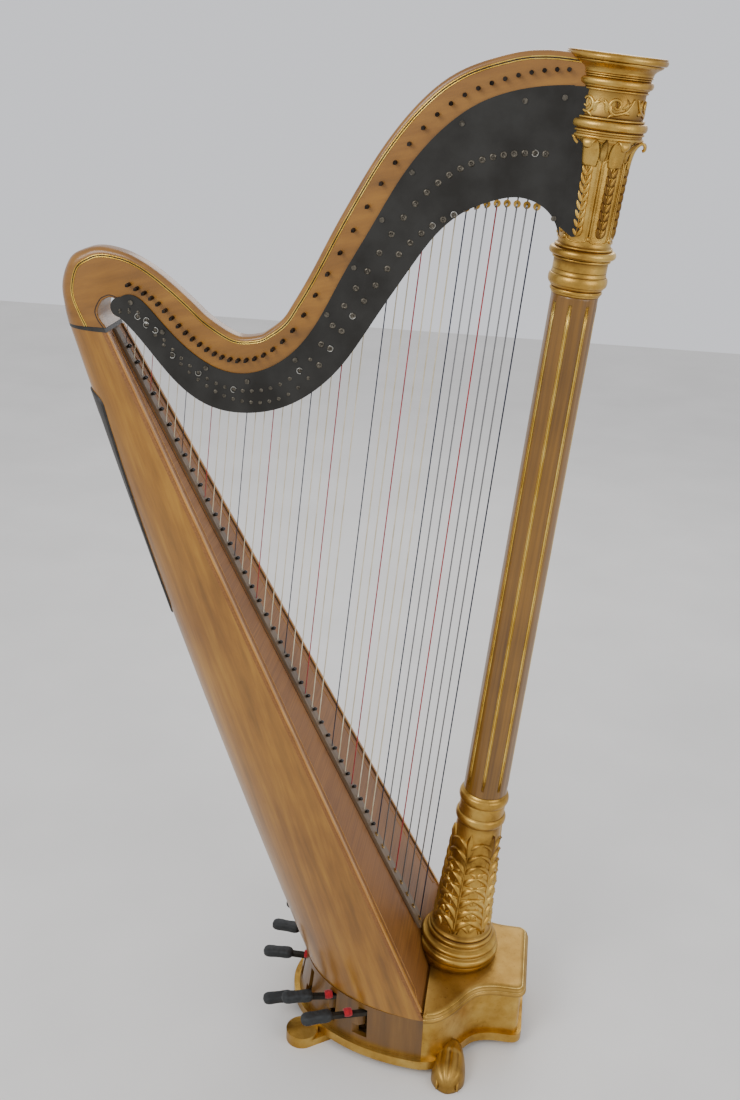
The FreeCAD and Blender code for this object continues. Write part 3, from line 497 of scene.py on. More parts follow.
def onColumn(height, radius, degrees):
    # height along the column in mm, radius in mm, angle from the front towards the player's left
    a = math.radians(degrees)
    return (columnFoot + columnUp * (height / 1000)
            + (columnFront * math.cos(a) + leftward * math.sin(a)) * (radius / 1000))


boardDir = Vector((-math.sin(boardLean), 0, -math.cos(boardLean)))
boardOut = Vector((-boardDir.z, 0, boardDir.x))
boardPoints = [v.co.copy() for v in nodes["soundboard"].data.vertices]
boardLevel = max(p.dot(boardOut) for p in boardPoints)
boardStart = min(p.dot(boardDir) for p in boardPoints)
boardLength = (max(p.dot(boardDir) for p in boardPoints) - boardStart) * 1000
halfTop = max(abs(p.y) for p in boardPoints if p.dot(boardDir) < boardStart + 0.02) * 1000
halfFoot = max(abs(p.y) for p in boardPoints) * 1000
print("soundboard", round(boardLength), "mm long,", round(halfTop), "to", round(halfFoot), "mm each side")


def onBoard(down, side, out):
    # down the board, across it and out from it, in mm
    return (boardDir * (boardStart + down / 1000) + boardOut * (boardLevel + out / 1000)
            + leftward * (side / 1000))


def boardHalf(down):
    return halfTop + (halfFoot - halfTop) * down / boardLength


# column

def turnedShape(name, profile, material, segments=96, shape=None, steps=3):
    # spins a (radius, height) profile round the column; shape(angle, height) adds to the radius
    line = [Vector((r, s, 0)) for r, s in profile]
    if steps > 1:
        line = smoothLine(line, steps)
    rings = []
    for p in line:
        ring = []
        for k in range(segments):
            angle = 360 * k / segments
            ring.append(onColumn(p.y, p.x + (shape(angle, p.y) if shape else 0), angle))
        rings.append(ring)
    return skinRings(name, rings, material)


def bead(radius, low, high, bulge, count=6):
    # half-round roll between two heights, standing out by bulge
    out = []
    for k in range(count + 1):
        a = math.pi * k / count
        out.append((radius + bulge * math.sin(a), (low + high) / 2 - (high - low) / 2 * math.cos(a)))
    return out


def cove(radiusLow, radiusHigh, low, high, depth, count=5):
    # hollow between two heights
    out = []
    for k in range(count + 1):
        t = k / count
        radius = radiusLow + (radiusHigh - radiusLow) * t - depth * math.sin(math.pi * t)
        out.append((radius, low + (high - low) * t))
    return out


def leafOnColumn(name, height, degrees, length, width, bulge, tilt, surface, material, tipCurl=0.0,
                 ridge=0.35, bend=0.0):
    # a carved leaf lying on the turned surface: tilt leans it from upright towards larger angles
    rows, cols, lift, root = 8, 6, 0.3, -0.6
    verts, faces = [], []
    for i in range(rows + 1):
        u = i / rows
        wide = width / 2 * math.sin(math.pi * min(1, 0.08 + u * 0.92) ** 0.75) ** 0.8
        lean = math.radians(tilt + bend * u)
        for j in range(cols + 1):
            v = 2 * j / cols - 1
            along, aside = length * u, wide * v
            ds = along * math.cos(lean) - aside * math.sin(lean)
            dt = along * math.sin(lean) + aside * math.cos(lean)
            at = height + ds
            r = surface(at)
            rise = lift + bulge * (1 - v * v) * math.sin(math.pi * (0.12 + 0.8 * u)) + tipCurl * u ** 4
            rise += ridge * (1 - abs(v)) ** 3
            if abs(v) == 1:
                rise = root
            verts.append(onColumn(at, r + rise, degrees + math.degrees(dt / r)))
    for i in range(rows):
        for j in range(cols):
            a = i * (cols + 1) + j
            faces.append((a, a + 1, a + cols + 2, a + cols + 1))
    return newMesh(name, verts, faces, material)


def wireOnColumn(name, points, radius, surface, material, lift=0.0, closed=False, taper=None):
    # a carved line through (height, degrees) points, laid on the turned surface
    line = [onColumn(h, surface(h) + lift, d) for h, d in points]
    return tube(name, line, radius / 1000, material, 6, closed, taper)


def ballOnColumn(name, height, degrees, radius, lift, surface, material):
    mesh = bpy.data.meshes.new(name)
    bm = bmesh.new()
    bmesh.ops.create_uvsphere(bm, u_segments=14, v_segments=9, radius=radius / 1000)
    bm.to_mesh(mesh)
    bm.free()
    ball = bpy.data.objects.new(name, mesh)
    bpy.context.scene.collection.objects.link(ball)
    ball.location = onColumn(height, surface(height) + lift, degrees)
    mesh.materials.append(material)
    bpy.context.view_layer.update()
    return ball


capitalShape = {"panels": 7, "firstPanel": -112, "panelLow": 1337, "panelHigh": 1468, "panelGap": 2.6,
                "fillet": 1.1, "innerFillet": 0.5, "innerWidth": 0.84, "groove": 0.9, "ball": 3.2,
                "vein": 0.7,
                "leafRows": 8, "leafStep": 12.4, "leafLength": 17.5, "leafWidth": 7.4, "leafTilt": 46,
                "scrolls": 6, "firstScroll": -75, "scrollLine": 2.0, "scrollHeight": 1534, "drum": 50.4}


def panelRadius(height):
    spec = capitalShape
    t = (height - spec["panelLow"]) / (spec["panelHigh"] - spec["panelLow"])
    return 40.2 + 3.4 * max(0, min(1.1, t))


def drumRadius(height):
    return capitalShape["drum"]


def capitalTurning(half):
    spec = capitalShape
    lower = [(37.5, 1258), (38.2, 1260)] + bead(38.2, 1261, 1267, 2.2) + [(41.2, 1270)]
    lower += bead(42, 1272, 1288, 3.6, 8) + cove(42, 41.5, 1290, 1296, 0.4) + [(41.5, 1309)]
    lower += bead(42.5, 1310, 1314, 2.2, 4) + [(46.2, 1315)] + bead(46, 1315.5, 1327, 5.0, 8)
    lower += bead(42.5, 1328, 1332, 1.8, 4) + [(40.4, 1334)]

    def facets(angle, height):
        # slightly flattened panels that meet in shallow corners
        if not spec["panelLow"] < height < spec["panelHigh"] + 6:
            return 0
        off = (angle - spec["firstPanel"] + half) % (2 * half) - half
        return 1.6 * (abs(off) / half) ** 2 - 0.9

    body = [(40.2, 1337)] + [(panelRadius(s), s) for s in range(1345, 1470, 12)]
    body += [(46.5, 1476), (50, 1481)]
    upper = [(55, 1485)] + bead(56, 1487, 1492, 2.0, 4) + [(55.5, 1494)] + bead(56, 1495, 1498.5, 2.2, 4)
    upper += bead(57, 1500, 1512, 4.0, 8) + bead(54, 1513, 1516.5, 1.6, 4) + [(50.4, 1519), (50.4, 1551)]
    upper += bead(51, 1551.5, 1555, 2.4, 4) + [(54, 1557)] + bead(54, 1558, 1569, 4.5, 8)
    upper += bead(53, 1569.5, 1572, 1.4, 4) + bead(54.5, 1572.5, 1575, 1.6, 4)
    upper += cove(55.5, 66.5, 1576, 1588, 3.4) + [(68, 1590.6)]
    return turnedShape("capitalTurning", lower + body + upper, gilt, 112, facets, 2)


def panelOutline(middle, reach):
    # up one side, round the arched head, down the other and round the foot
    loop = [(s, middle - reach) for s in range(1348, 1452, 13)]
    for a in [math.pi * i / 8 for i in range(9)]:
        loop.append((1452 + 11 * math.sin(a), middle - reach * math.cos(a)))
    loop += [(s, middle + reach) for s in range(1451, 1343, -13)]
    for a in [math.pi * i / 6 for i in range(1, 6)]:
        loop.append((1344 - 4 * math.sin(a), middle + reach * math.cos(a)))
    return loop


def curledLeaf(name, middle):
    # a thick three-lobed leaf that rolls over at its tip: radius, height, half width
    curl = [(44, 1449, 11), (45.5, 1464, 13.5), (48.5, 1476, 13.5), (53.5, 1484, 12.5), (59, 1486.5, 10.5),
            (62.6, 1483, 8.5), (62.4, 1477.5, 6.2), (59.4, 1475.5, 3.6)]
    line = smoothLine([Vector(p) for p in curl], 3)
    rings = []
    for i, p in enumerate(line):
        ahead = line[min(i + 1, len(line) - 1)]
        behind = line[max(i - 1, 0)]
        run = Vector((ahead.x - behind.x, ahead.y - behind.y)).normalized()
        out = Vector((run.y, -run.x))
        ring = []
        for a in angles(14):
            wide = p.z * math.cos(a) * (1 + 0.13 * math.cos(3 * a))
            lobe = 0.5 * math.cos(3 * a) if math.sin(a) > 0 else 0
            thick = 2.1 * math.sin(a) * (1 + lobe)
            r, s = p.x + out.x * thick, p.y + out.y * thick
            ring.append(onColumn(s, r, middle + math.degrees(wide / r)))
        rings.append(ring)
    return skinRings(name, rings, gilt)


def capitalPanel(k, half):
    spec = capitalShape
    middle = spec["firstPanel"] + k * 2 * half
    edge = middle + half
    loop = panelOutline(middle, half - spec["panelGap"])
    inner = []
    for s, d in loop:
        inner.append((s, d) if abs(d - middle) < 1 else (s, middle + (d - middle) * spec["innerWidth"]))
    dart = [(s, edge) for s in range(1350, 1466, 12)]
    vein = [(s, middle) for s in range(1348, 1458, 10)]
    parts = [
        wireOnColumn(f"panelFillet{k}", loop, spec["fillet"], panelRadius, gilt, 0.9, True),
        wireOnColumn(f"panelInnerFillet{k}", inner, spec["innerFillet"], panelRadius, gilt, 0.4, True),
        # the groove is a wire in the darker gilding: painted shade
        wireOnColumn(f"panelGroove{k}", dart, spec["groove"], panelRadius, giltShaded, 0.2),
        ballOnColumn(f"panelBall{k}", 1346, edge, spec["ball"], 1.4, panelRadius, gilt),
        wireOnColumn(f"laurelVein{k}", vein, spec["vein"], panelRadius, gilt, 0.3)]
    for row in range(spec["leafRows"]):
        for side in (-1, 1):
            parts.append(leafOnColumn(
                f"laurel{k}_{row}_{side}", 1349 + row * spec["leafStep"], middle + side * 0.8,
                spec["leafLength"],
                spec["leafWidth"], 2.3, side * spec["leafTilt"], panelRadius, gilt, bend=side * -26,
                ridge=0.5))
    parts.append(curledLeaf(f"curledLeaf{k}", middle))
    parts.append(leafOnColumn(f"dartLeaf{k}", 1458, edge, 30, 12, 2.4, 0,
                              lambda h: 44 + max(0, h - 1468) * 0.75, gilt, tipCurl=2.5))
    return parts


# leaves along one scroll: height, degrees from its middle, tilt, length
scrollLeaves = [(1531, -6, -70, 14), (1528, -13, -30, 17), (1527, 13, 20, 19), (1531, 5, -20, 11),
                (1524, -21, 60, 14), (1539, -20, 110, 13), (1522, 4, 85, 14), (1524, 20, -15, 20)]


def capitalScroll(k):
    spec = capitalShape
    middle = spec["firstScroll"] + k * 360 / spec["scrolls"]
    hand = 1 if k % 2 else -1
    spiral = []
    for i in range(26):
        t = i / 25
        a = math.radians(-90 + 430 * (1 - t))
        reach = 2.6 + 9.4 * t
        aside = math.degrees(reach * math.cos(a) / spec["drum"])
        spiral.append((spec["scrollHeight"] + reach * math.sin(a), middle + hand * aside + hand * 5))
    stem = [spiral[-1], (1527, middle - hand * 12), (1534, middle - hand * 19), (1545, middle - hand * 26)]
    stem = [(p.x, p.y) for p in smoothLine([Vector((h, d, 0)) for h, d in stem], 5)]
    parts = [wireOnColumn(f"scroll{k}", spiral[:-1] + stem, spec["scrollLine"], drumRadius, gilt, 0.5,
                          taper=lambda t: 0.75 + 0.5 * math.sin(math.pi * t))]
    for j, (h, d, tilt, size) in enumerate(scrollLeaves):
        parts.append(leafOnColumn(f"scrollLeaf{k}_{j}", h, middle + hand * d, size, size * 0.46, 1.7,
                                  hand * tilt, drumRadius, gilt, bend=hand * 35))
    return parts


def makeCapital():
    spec = capitalShape
    half = 180 / spec["panels"]
    parts = [capitalTurning(half)]
    for k in range(spec["panels"]):
        parts += capitalPanel(k, half)
    for k in range(spec["scrolls"]):
        parts += capitalScroll(k)
    addPiece(joinParts("capitalCarving", parts), "frame", "gilded_wood", "capital")
    disc = [(0.5, 1591), (67, 1591.2), (70.5, 1591.4), (72.4, 1593.2), (73.1, 1596), (72.6, 1598.4),
            (71.2, 1599.6), (71.6, 1600.6), (71, 1601.6), (66, 1601.9), (0.5, 1601.9)]
    top = sharpByAngle(turnedShape("capitalTop", disc, gilt, 112, None, 1), 50)
    addPiece(top, "frame", "gilded_wood", "capital_disc")
    print("capital carved")


shaftShape = {"lines": 8, "firstLine": -98, "foot": 352, "head": 1258, "footRadius": 40, "headRadius": 36.8,
              "groove": 1.5, "barRadius": 1.7, "barDepth": 2.3, "edgeRadius": 0.55, "edgeDegrees": 3.3}


def shaftRadius(height):
    spec = shaftShape
    t = (height - spec["foot"]) / (spec["head"] - spec["foot"])
    return spec["footRadius"] + (spec["headRadius"] - spec["footRadius"]) * t


def makeShaft():
    spec = shaftShape
    step = 360 / spec["lines"]

    def flutes(angle, height):
        # low swellings with a narrow groove in each, fading out near both ends
        off = (angle - spec["firstLine"] + step / 2) % step - step / 2
        swell = 0.7 * math.cos(math.pi * off / step) - 0.5
        inEnds = min(1, max(0, min(height - spec["foot"] - 8, spec["head"] - 8 - height) / 14))
        groove = spec["groove"] * math.exp(-(off / 5.2) ** 4) * inEnds
        return swell - 0.6 - groove

    heights = [352, 353, 358, 364, 372, 380] + list(range(420, 1230, 60)) + [1236, 1242, 1248, 1254, 1258]
    profile = [(shaftRadius(h), h) for h in heights]
    shaft = turnedShape("flutedShaft", profile, walnutShaft, 240, flutes, 1)
    addPiece(shaft, "frame", "brown_wood", "column_shaft")
    lines = []
    for k in range(spec["lines"]):
        at = spec["firstLine"] + k * step
        points = [(h, at) for h in range(366, 1248, 40)] + [(1244, at)]
        for side in (-1, 1):
            edge = [(h, d + side * spec["edgeDegrees"]) for h, d in points]
            lines.append(wireOnColumn(f"fluteEdge{k}_{side}", edge, spec["edgeRadius"], shaftRadius, giltLine,
                                      -0.95))
        lines.append(wireOnColumn(f"fluteLine{k}", points, spec["barRadius"], shaftRadius, giltLine,
                                  -spec["barDepth"]))
    addPiece(joinParts("giltFlutes", lines), "frame", "gilded_wood")
    print("shaft fluted")


baseShape = {"leaves": 6, "firstLeaf": -104, "rib": 2.2, "sideRib": 1.0, "rows": 8, "rowStep": 25,
             "leafLength": 46, "leafWidth": 15, "smallRows": 5, "boardGap": 1.2}


def baseRadius(height):
    table = [(60, 54), (80, 51.6), (110, 49.6), (160, 47.8), (215, 44.6), (270, 41.2), (290, 41)]
    for (h0, r0), (h1, r1) in zip(table, table[1:]):
        if height <= h1:
            return r0 + (r1 - r0) * max(0, height - h0) / (h1 - h0)
    return 41


def trimFlat(piece, place, outwards):
    # cuts away what lies beyond a plane and closes the cut
    bm = bmesh.new()
    bm.from_mesh(piece.data)
    everything = bm.verts[:] + bm.edges[:] + bm.faces[:]
    cut = bmesh.ops.bisect_plane(bm, geom=everything, plane_co=place, plane_no=outwards, clear_outer=True)
    bmesh.ops.holes_fill(bm, edges=[e for e in cut["geom_cut"] if isinstance(e, bmesh.types.BMEdge)])
    bm.to_mesh(piece.data)
    bm.free()


def acanthus(k):
    spec = baseShape
    middle = spec["firstLeaf"] + k * 360 / spec["leaves"]
    rib = [(h, middle) for h in range(56, 272, 12)]
    parts = [wireOnColumn(f"acanthusRib{k}", rib, spec["rib"], baseRadius, gilt, 0.3,
                          taper=lambda t: 1.25 - 0.7 * t)]
    for side in (-1, 1):
        outer = []
        for t in [i / 14 for i in range(15)]:
            outer.append((56 + 200 * t, middle + side * (7 + 15 * math.sin(math.pi * t ** 0.8) - 5 * t)))
        parts.append(wireOnColumn(f"acanthusSide{k}_{side}", outer, spec["sideRib"], baseRadius, giltBright,
                                  0.3,
                                  taper=lambda t: 1.2 - 0.8 * t))
        for row in range(spec["rows"]):
            parts.append(leafOnColumn(
                f"acanthus{k}_{row}_{side}", 64 + row * spec["rowStep"], middle + side * 2.5,
                spec["leafLength"] - 2.4 * row, spec["leafWidth"] - 0.8 * row, 3.4, side * 24, baseRadius,
                gilt,
                bend=side * (34 - row), ridge=0.9, tipCurl=1.2))
    # smaller leaf between two large ones
    between = middle + 180 / spec["leaves"]
    for row in range(spec["smallRows"]):
        for side in (-1, 1):
            parts.append(leafOnColumn(
                f"smallAcanthus{k}_{row}_{side}", 62 + row * 30, between + side * 1.5, 26 - row, 9, 2.4,
                side * 20, baseRadius, gilt, bend=side * 40, ridge=0.5))
    parts.append(leafOnColumn(f"topLeaf{k}", 226, middle, 46, 20, 3.0, 0, baseRadius, gilt, tipCurl=2.0,
                              ridge=0.8))
    return parts


def makeColumnBase():
    spec = baseShape
    profile = [(73, -24), (74, -6)] + bead(73, -4, 10, 4, 8) + cove(70, 69, 11, 15, 1.2)
    profile += bead(69, 15.5, 24, 3.4, 6)
    profile += cove(63, 61, 26, 31, 1.5) + bead(60, 31.5, 40, 3.6, 6) + bead(56, 42, 48, 3, 5) + [(54.4, 51)]
    profile += [(baseRadius(h), h) for h in (56, 70, 90, 110, 140, 170, 200, 230, 255, 275)]
    profile += [(41, 284)] + bead(41.2, 287, 305, 4.8, 8) + cove(41.6, 41.6, 307, 328, 0.3)
    profile += bead(40.8, 329, 347, 4.6, 8) + [(39.5, 350), (38, 351.5)]
    turned = turnedShape("columnBaseTurning", profile, gilt, 96, None, 1)
    # flat where it stands on the plinth and against the soundboard
    trimFlat(turned, Vector((0, 0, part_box("plinth_top")[1].z)), Vector((0, 0, -1)))
    trimFlat(turned, onBoard(0, 0, spec["boardGap"]), -boardOut)
    parts = [turned]
    for k in range(spec["leaves"]):
        parts += acanthus(k)
    addPiece(joinParts("columnBaseCarving", parts), "frame", "gilded_wood", "column_base")
    print("column base carved")


makeCapital()
makeShaft()
makeColumnBase()


# neck

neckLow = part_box("neck")[0]
neckShape = {"topRound": 7, "underRound": 3, "lineIn": (1.2, 4.6), "lineRadius": 1.0, "shoulder": 60}


def neckPoint(x, y, z):
    # mm: x from the column's foot, z from the floor
    return Vector((neckLow.x + (x + 724) / 1000, y / 1000, neckLow.z + (z - 1205) / 1000))


def makeNeck():
    spec = neckShape
    pairs = [
        ((-716, 1318), (-642, 1318), -42, 42), ((-719, 1345), (-652, 1331), -41.5, 38),
        ((-719, 1385), (-656, 1343), -40, 29), ((-702, 1424), (-649, 1359), -38, 17),
        ((-676, 1439), (-642, 1364), -36.5, 9), ((-652, 1444), (-634, 1366), -35.5, 3),
        ((-624, 1441), (-622, 1361), -35, 0), ((-597, 1433), (-611, 1350), -35, -3),
        ((-565, 1416), (-601, 1334), -35, -3), ((-533, 1393), (-590, 1316), -35, -3),
        ((-503, 1368), (-562, 1280), -35, -3), ((-474, 1343), (-530, 1247), -35, -3),
        ((-430, 1319), (-484, 1217), -35, -3), ((-396, 1321), (-419, 1205), -35, -3),
        ((-378, 1331), (-353, 1219), -35, -3), ((-355, 1351), (-295, 1260), -35, -3),
        ((-338, 1378), (-262, 1297), -35, -3), ((-312, 1425), (-222, 1362), -35, -3),
        ((-266, 1516), (-165, 1450), -35, -3), ((-209, 1615), (-122, 1510), -35, -3),
        ((-154, 1685), (-66, 1550), -35, -3), ((-99, 1728), (-20, 1566), -35, -3),
        ((-30, 1753), (30, 1556), -35, -3), ((20, 1760), (58, 1524), -35, -3),
        ((78, 1757), (80, 1509), -35, -3)]
    tops = smoothLine([Vector((t[0], t[1], 0)) for t, u, r, l in pairs], 8)
    unders = smoothLine([Vector((u[0], u[1], 0)) for t, u, r, l in pairs], 8)
    sides = smoothLine([Vector((r, l, 0)) for t, u, r, l in pairs], 8)
    rings = []
    edges = [[] for k in spec["lineIn"]]
    for i, (top, under, side) in enumerate(zip(tops, unders, sides)):
        up = (top - under).normalized()
        right, left = side.x, side.y
        shoulder = max(0.0, 1 - i / spec["shoulder"])
        topRound = spec["topRound"] + (0.45 * (left - right) - spec["topRound"]) * shoulder
        corners = [(under, 1, left, -1, spec["underRound"]), (top, -1, left, -1, topRound),
                   (top, -1, right, 1, topRound), (under, 1, right, 1, spec["underRound"])]
        ring = []
        for n, (base, rise, y, inward, r) in enumerate(corners):
            for k in range(7):
                a = math.pi / 2 * k / 6
                if n % 2 == 0:
                    a = math.pi / 2 - a
                da, dy = r - r * math.sin(a), r - r * math.cos(a)
                ring.append((base + up * (rise * da), y + inward * dy))
        rings.append([neckPoint(p.x, y, p.y) for p, y in ring])
        for line, into in zip(edges, spec["lineIn"]):
            place = top - up * (topRound + into)
            line.append(neckPoint(place.x, right - 0.1, place.y))
    wood = skinRings("neckWood", rings, mapleNeck)
    addPiece(sharpByAngle(wood, 42), "frame", "maple", "neck")
    lines = [tube(f"neckLine{k}", line, spec["lineRadius"] / 1000, giltLine, 6)
             for k, line in enumerate(edges)]
    # dark groove between the two gilt lines and another along the inner arch
    middle = [a.lerp(b, 0.5) for a, b in zip(*edges)]
    lines.append(tube("neckGroove", middle, 0.0007, darkLine, 6))
    arch = [neckPoint(u.x, s.x - 0.1, u.y) + (t - u).normalized().x * Vector((0.004, 0, 0))
            + (t - u).normalized().y * Vector((0, 0, 0.004))
            for t, u, s in list(zip(tops, unders, sides))[:64]]
    lines.append(tube("archLine", arch, 0.0008, darkLine, 6))
    addPiece(joinParts("neckLines", lines), "frame", "gilded_wood")
    print("neck shaped")


# action plates

plateShape = {"boss": 5.2, "bossRise": 1.6, "sides": 14, "trebleFrom": -300, "trebleScale": 0.62,
              "clips": 14, "clip": 4.6, "clipTurn": 4.6, "clipWire": 0.8, "clipStandoff": 1.2}


def makePlateWork():
    spec = plateShape
    parts = []
    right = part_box("action_plate_right")[0].y
    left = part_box("action_plate_left")[1].y
    spindles = islands("disc_spindles")
    for k, (low, high) in enumerate(spindles):
        x, z = (low.x + high.x) / 2, (low.z + high.z) / 2
        scale = spec["trebleScale"] if x < neckPoint(spec["trebleFrom"], 0, 0).x else 1.0
        for face, sign in ((right, -1), (left, 1)):
            profile = [(spec["boss"], 0.0), (spec["boss"] * 0.96, 0.5),
                       (spec["boss"] * 0.7, spec["bossRise"] * 0.8),
                       (spec["boss"] * 0.45, spec["bossRise"]),
                       (spec["boss"] * 0.42, spec["bossRise"] * 0.7), (0.1, spec["bossRise"] * 0.7)]
            rings = []
            for r, rise in profile:
                rings.append([Vector((x + r * scale / 1000 * math.cos(a), face + sign * rise * scale / 1000,
                                      z + r * scale / 1000 * math.sin(a)))
                              for a in angles(spec["sides"])])
            plate = nodes["action_plate_right" if sign < 0 else "action_plate_left"]
            backed = plate.ray_cast((x, sign * 0.3, z - 0.004), (0, -sign, 0))[0]
            if backed and (sign < 0 or k % 2 == 0):
                parts.append(skinRings(f"boss{k}_{sign}", rings, bossBronze, True))
    for k in random.sample(range(len(spindles)), spec["clips"]):
        low, high = spindles[k]
        x, z = (low.x + high.x) / 2, (low.z + high.z) / 2
        if not nodes["action_plate_right"].ray_cast((x, -0.3, z - 0.004), (0, 1, 0))[0]:
            continue
        start = random.uniform(0, 6.28)
        reach, level = spec["clip"] / 1000, right - spec["clipStandoff"] / 1000
        turns = [start + spec["clipTurn"] * j / 14 for j in range(15)]
        arc = [Vector((x + reach * math.cos(t), level, z + reach * math.sin(t))) for t in turns]
        parts.append(tube(f"springClip{k}", arc, spec["clipWire"] / 1000, brightSteel, 6))
    # the plate runs on behind the capital
    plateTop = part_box("action_plate_right")[1].z - 0.001
    outline = [neckPoint(56, 0, 0), neckPoint(100, 0, 0)]
    for p in outline:
        p.z = plateTop
    outline += [neckPoint(x, 0, z)
                for x, z in ((99, 1600), (95, 1508), (80, 1505), (62, 1518), (46, 1548), (44, 1600))]
    slab = []
    for y in (right + 0.0002, right + 0.0026):
        slab.append([Vector((p.x, y, p.z)) for p in outline])
    parts.append(sharpByAngle(skinRings("plateEnd", slab, plateBronze), 30))
    addPiece(joinParts("actionBosses", parts), "frame", "bronze_plate")
    print("action plates dressed,", len(spindles), "spindles")


# soundboard lines

boardDetail = {"foot": 8, "headGap": 46, "ribGap": 60, "edgeLine": 8.5, "edgeRidge": 3.0, "ribLine": 3.0,
               "inset": 24, "edgeWire": 1.2, "ridgeWire": 1.1, "line": 0.8, "lightWire": 0.9, "mitreWire": 0.7}


def boardLine(name, run, across, lift, radius, material):
    # a thin line up the soundboard; across gives its distance from the middle
    return tube(name, [onBoard(d, across(d), lift) for d in run], radius / 1000, material, 6)


def makeBoardLines():
    spec = boardDetail
    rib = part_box("string_rib")[1].y * 1000 + spec["ribLine"]
    last = boardLength - spec["headGap"]
    run = [spec["foot"] + (last - spec["foot"]) * i / 30 for i in range(31)]
    near = [d for d in run if d < boardLength - spec["ribGap"]]
    parts = []
    for side in (-1, 1):
        parts.append(boardLine(f"edgePurfling{side}", run, lambda d: side * (boardHalf(d) - spec["edgeLine"]),
                               0.1, spec["edgeWire"], darkLine))
        parts.append(boardLine(f"edgeRidge{side}", run, lambda d: side * (boardHalf(d) - spec["edgeRidge"]),
                               0.2, spec["ridgeWire"], edgeMaple))
        parts.append(boardLine(f"ribPurfling{side}", near, lambda d: side * rib, 0.1, spec["line"], darkLine))
    for side in (-1, 1):
        parts.append(boardLine(f"lightPurfling{side}", run, lambda d: side * (boardHalf(d) - spec["inset"]),
                               0.1, spec["lightWire"], edgeMaple))
        mitre = [onBoard(last - 4 + 22 * t, side * (boardHalf(last) - spec["inset"] + 20 * t), 0.15)
                 for t in (0, 0.5, 1)]
        parts.append(tube(f"mitre{side}", mitre, spec["mitreWire"] / 1000, edgeMaple, 6))
    addPiece(joinParts("soundboardLines", parts), "frame", "ebonised_wood")
    print("soundboard lines laid")


# plinth

plinthShape = {"edge": [(8, 0), (2.5, 0.6), (0.6, 2.2), (0, 4.5), (0.6, 6.8), (2.6, 8.4), (3.6, 8.8),
                        (3.0, 9.6), (2.4, 11), (2.6, 12.8), (4, 14.6), (6.4, 16), (7.6, 16.3),
                        (7.8, 17.6), (9.4, 18.8), (12.5, 19.6), (16, 20)]}


def offsetLoop(points, inset, z, rear, keep=0.006):
    # moves an outline inwards by its own normals, but leaves the straight edge at the joint alone
    count = len(points)
    area = sum(points[i - 1].x * points[i].y - points[i].x * points[i - 1].y for i in range(count))
    out = []
    for i, p in enumerate(points):
        along = points[(i + 1) % count] - points[i - 1]
        along.z = 0
        along.normalize()
        inward = Vector((-along.y, along.x, 0)) * (1 if area > 0 else -1)
        hold = min(1.0, max(0.0, (p.x - rear) / keep))
        moved = p + inward * (inset / 1000 * hold)
        out.append(Vector((max(moved.x, rear), moved.y, z)))
    return out


def cleanLoop(nodeName, z, count):
    loop = sectionLoop(nodeName, z)
    return evenLine(loop + [loop[0]], count + 1)[:-1]


def makePlinth():
    low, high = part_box("plinth_top")
    outline = cleanLoop("plinth_top", (low.z + high.z) / 2, 260)
    rings = [offsetLoop(outline, inset, low.z + rise / 1000, low.x) for inset, rise in plinthShape["edge"]]
    top = skinRings("serpentineTop", rings, giltWorn)
    addPiece(sharpByAngle(top, 50), "frame", "gilded_wood", "plinth_top")
    lines = []
    for k, (inset, rise) in enumerate(((3.2, 9.2), (7.4, 16.9))):
        loop = offsetLoop(outline, inset, low.z + rise / 1000, low.x)
        lines.append(tube(f"topEdgeLine{k}", loop, 0.0009, giltBright, 6, True))
    addPiece(joinParts("topEdgeLines", lines), "frame", "gilded_wood")
    print("plinth top moulded")


def paw(name, low, high, material):
    # ridged foot: four toes fanned over a rounded block that runs outwards from the plinth
    sign = 1 if low.y + high.y > 0 else -1
    start, end = (low.y, high.y) if sign > 0 else (high.y, low.y)
    middle, half = (low.x + high.x) / 2, (high.x - low.x) / 2
    rings = []
    for i in range(25):
        t = i / 24
        y = start + (end - start) * t
        tip = math.sqrt(max(0.0, 1 - max(0.0, (t - 0.62) / 0.38) ** 2))
        wide = half * (0.76 + 0.24 * math.sin(math.pi * min(1, t * 0.9))) * max(tip, 0.12)
        tall = (high.z - low.z) * (0.97 - 0.28 * t) * (0.35 + 0.65 * tip)
        if t < 0.3:
            tall = (high.z - low.z) * (0.97 - 0.1 * t)
        ring = []
        for j in range(48):
            a = math.pi * j / 47
            across = -math.cos(a)
            toes = 0.075 * abs(math.sin(4 * math.pi * (across + 1) / 2)) * min(1, max(0, (t - 0.12) * 4))
            rise = (abs(math.sin(a)) ** 0.62) * (0.9 + toes)
            ring.append(Vector((middle + wide * across, y, low.z + tall * min(1.0, rise))))
        rings.append(ring)
    return skinRings(name, rings, material)


def makeFeet():
    parts = [paw(f"paw{k}", low, high, giltWorn) for k, (low, high) in enumerate(islands("front_feet"))]
    for k, (low, high) in enumerate(islands("front_feet")):
        sign = 1 if low.y + high.y > 0 else -1
        tip = high.y if sign > 0 else low.y
        for j in range(4):
            x = low.x + (high.x - low.x) * (0.2 + 0.2 * j)
            claw = [Vector((x, tip - sign * d / 1000, low.z + h / 1000))
                    for d, h in ((22, 19), (14, 17), (7, 12), (4, 5))]
            parts.append(tube(f"claw{k}_{j}", smoothLine(claw, 4), 0.0042, giltWorn, 8, False,
                              lambda t: 1.0 - 0.55 * t))
    addPiece(joinParts("pawFeet", parts), "frame", "gilded_wood", "front_feet")
    print("feet carved")


# pedals

shoeShape = {"waist": 0.16, "round": 0.62, "ribs": 6, "feltLength": 14, "feltRadius": 9, "feltBack": 36,
             "feltFlat": 0.86}


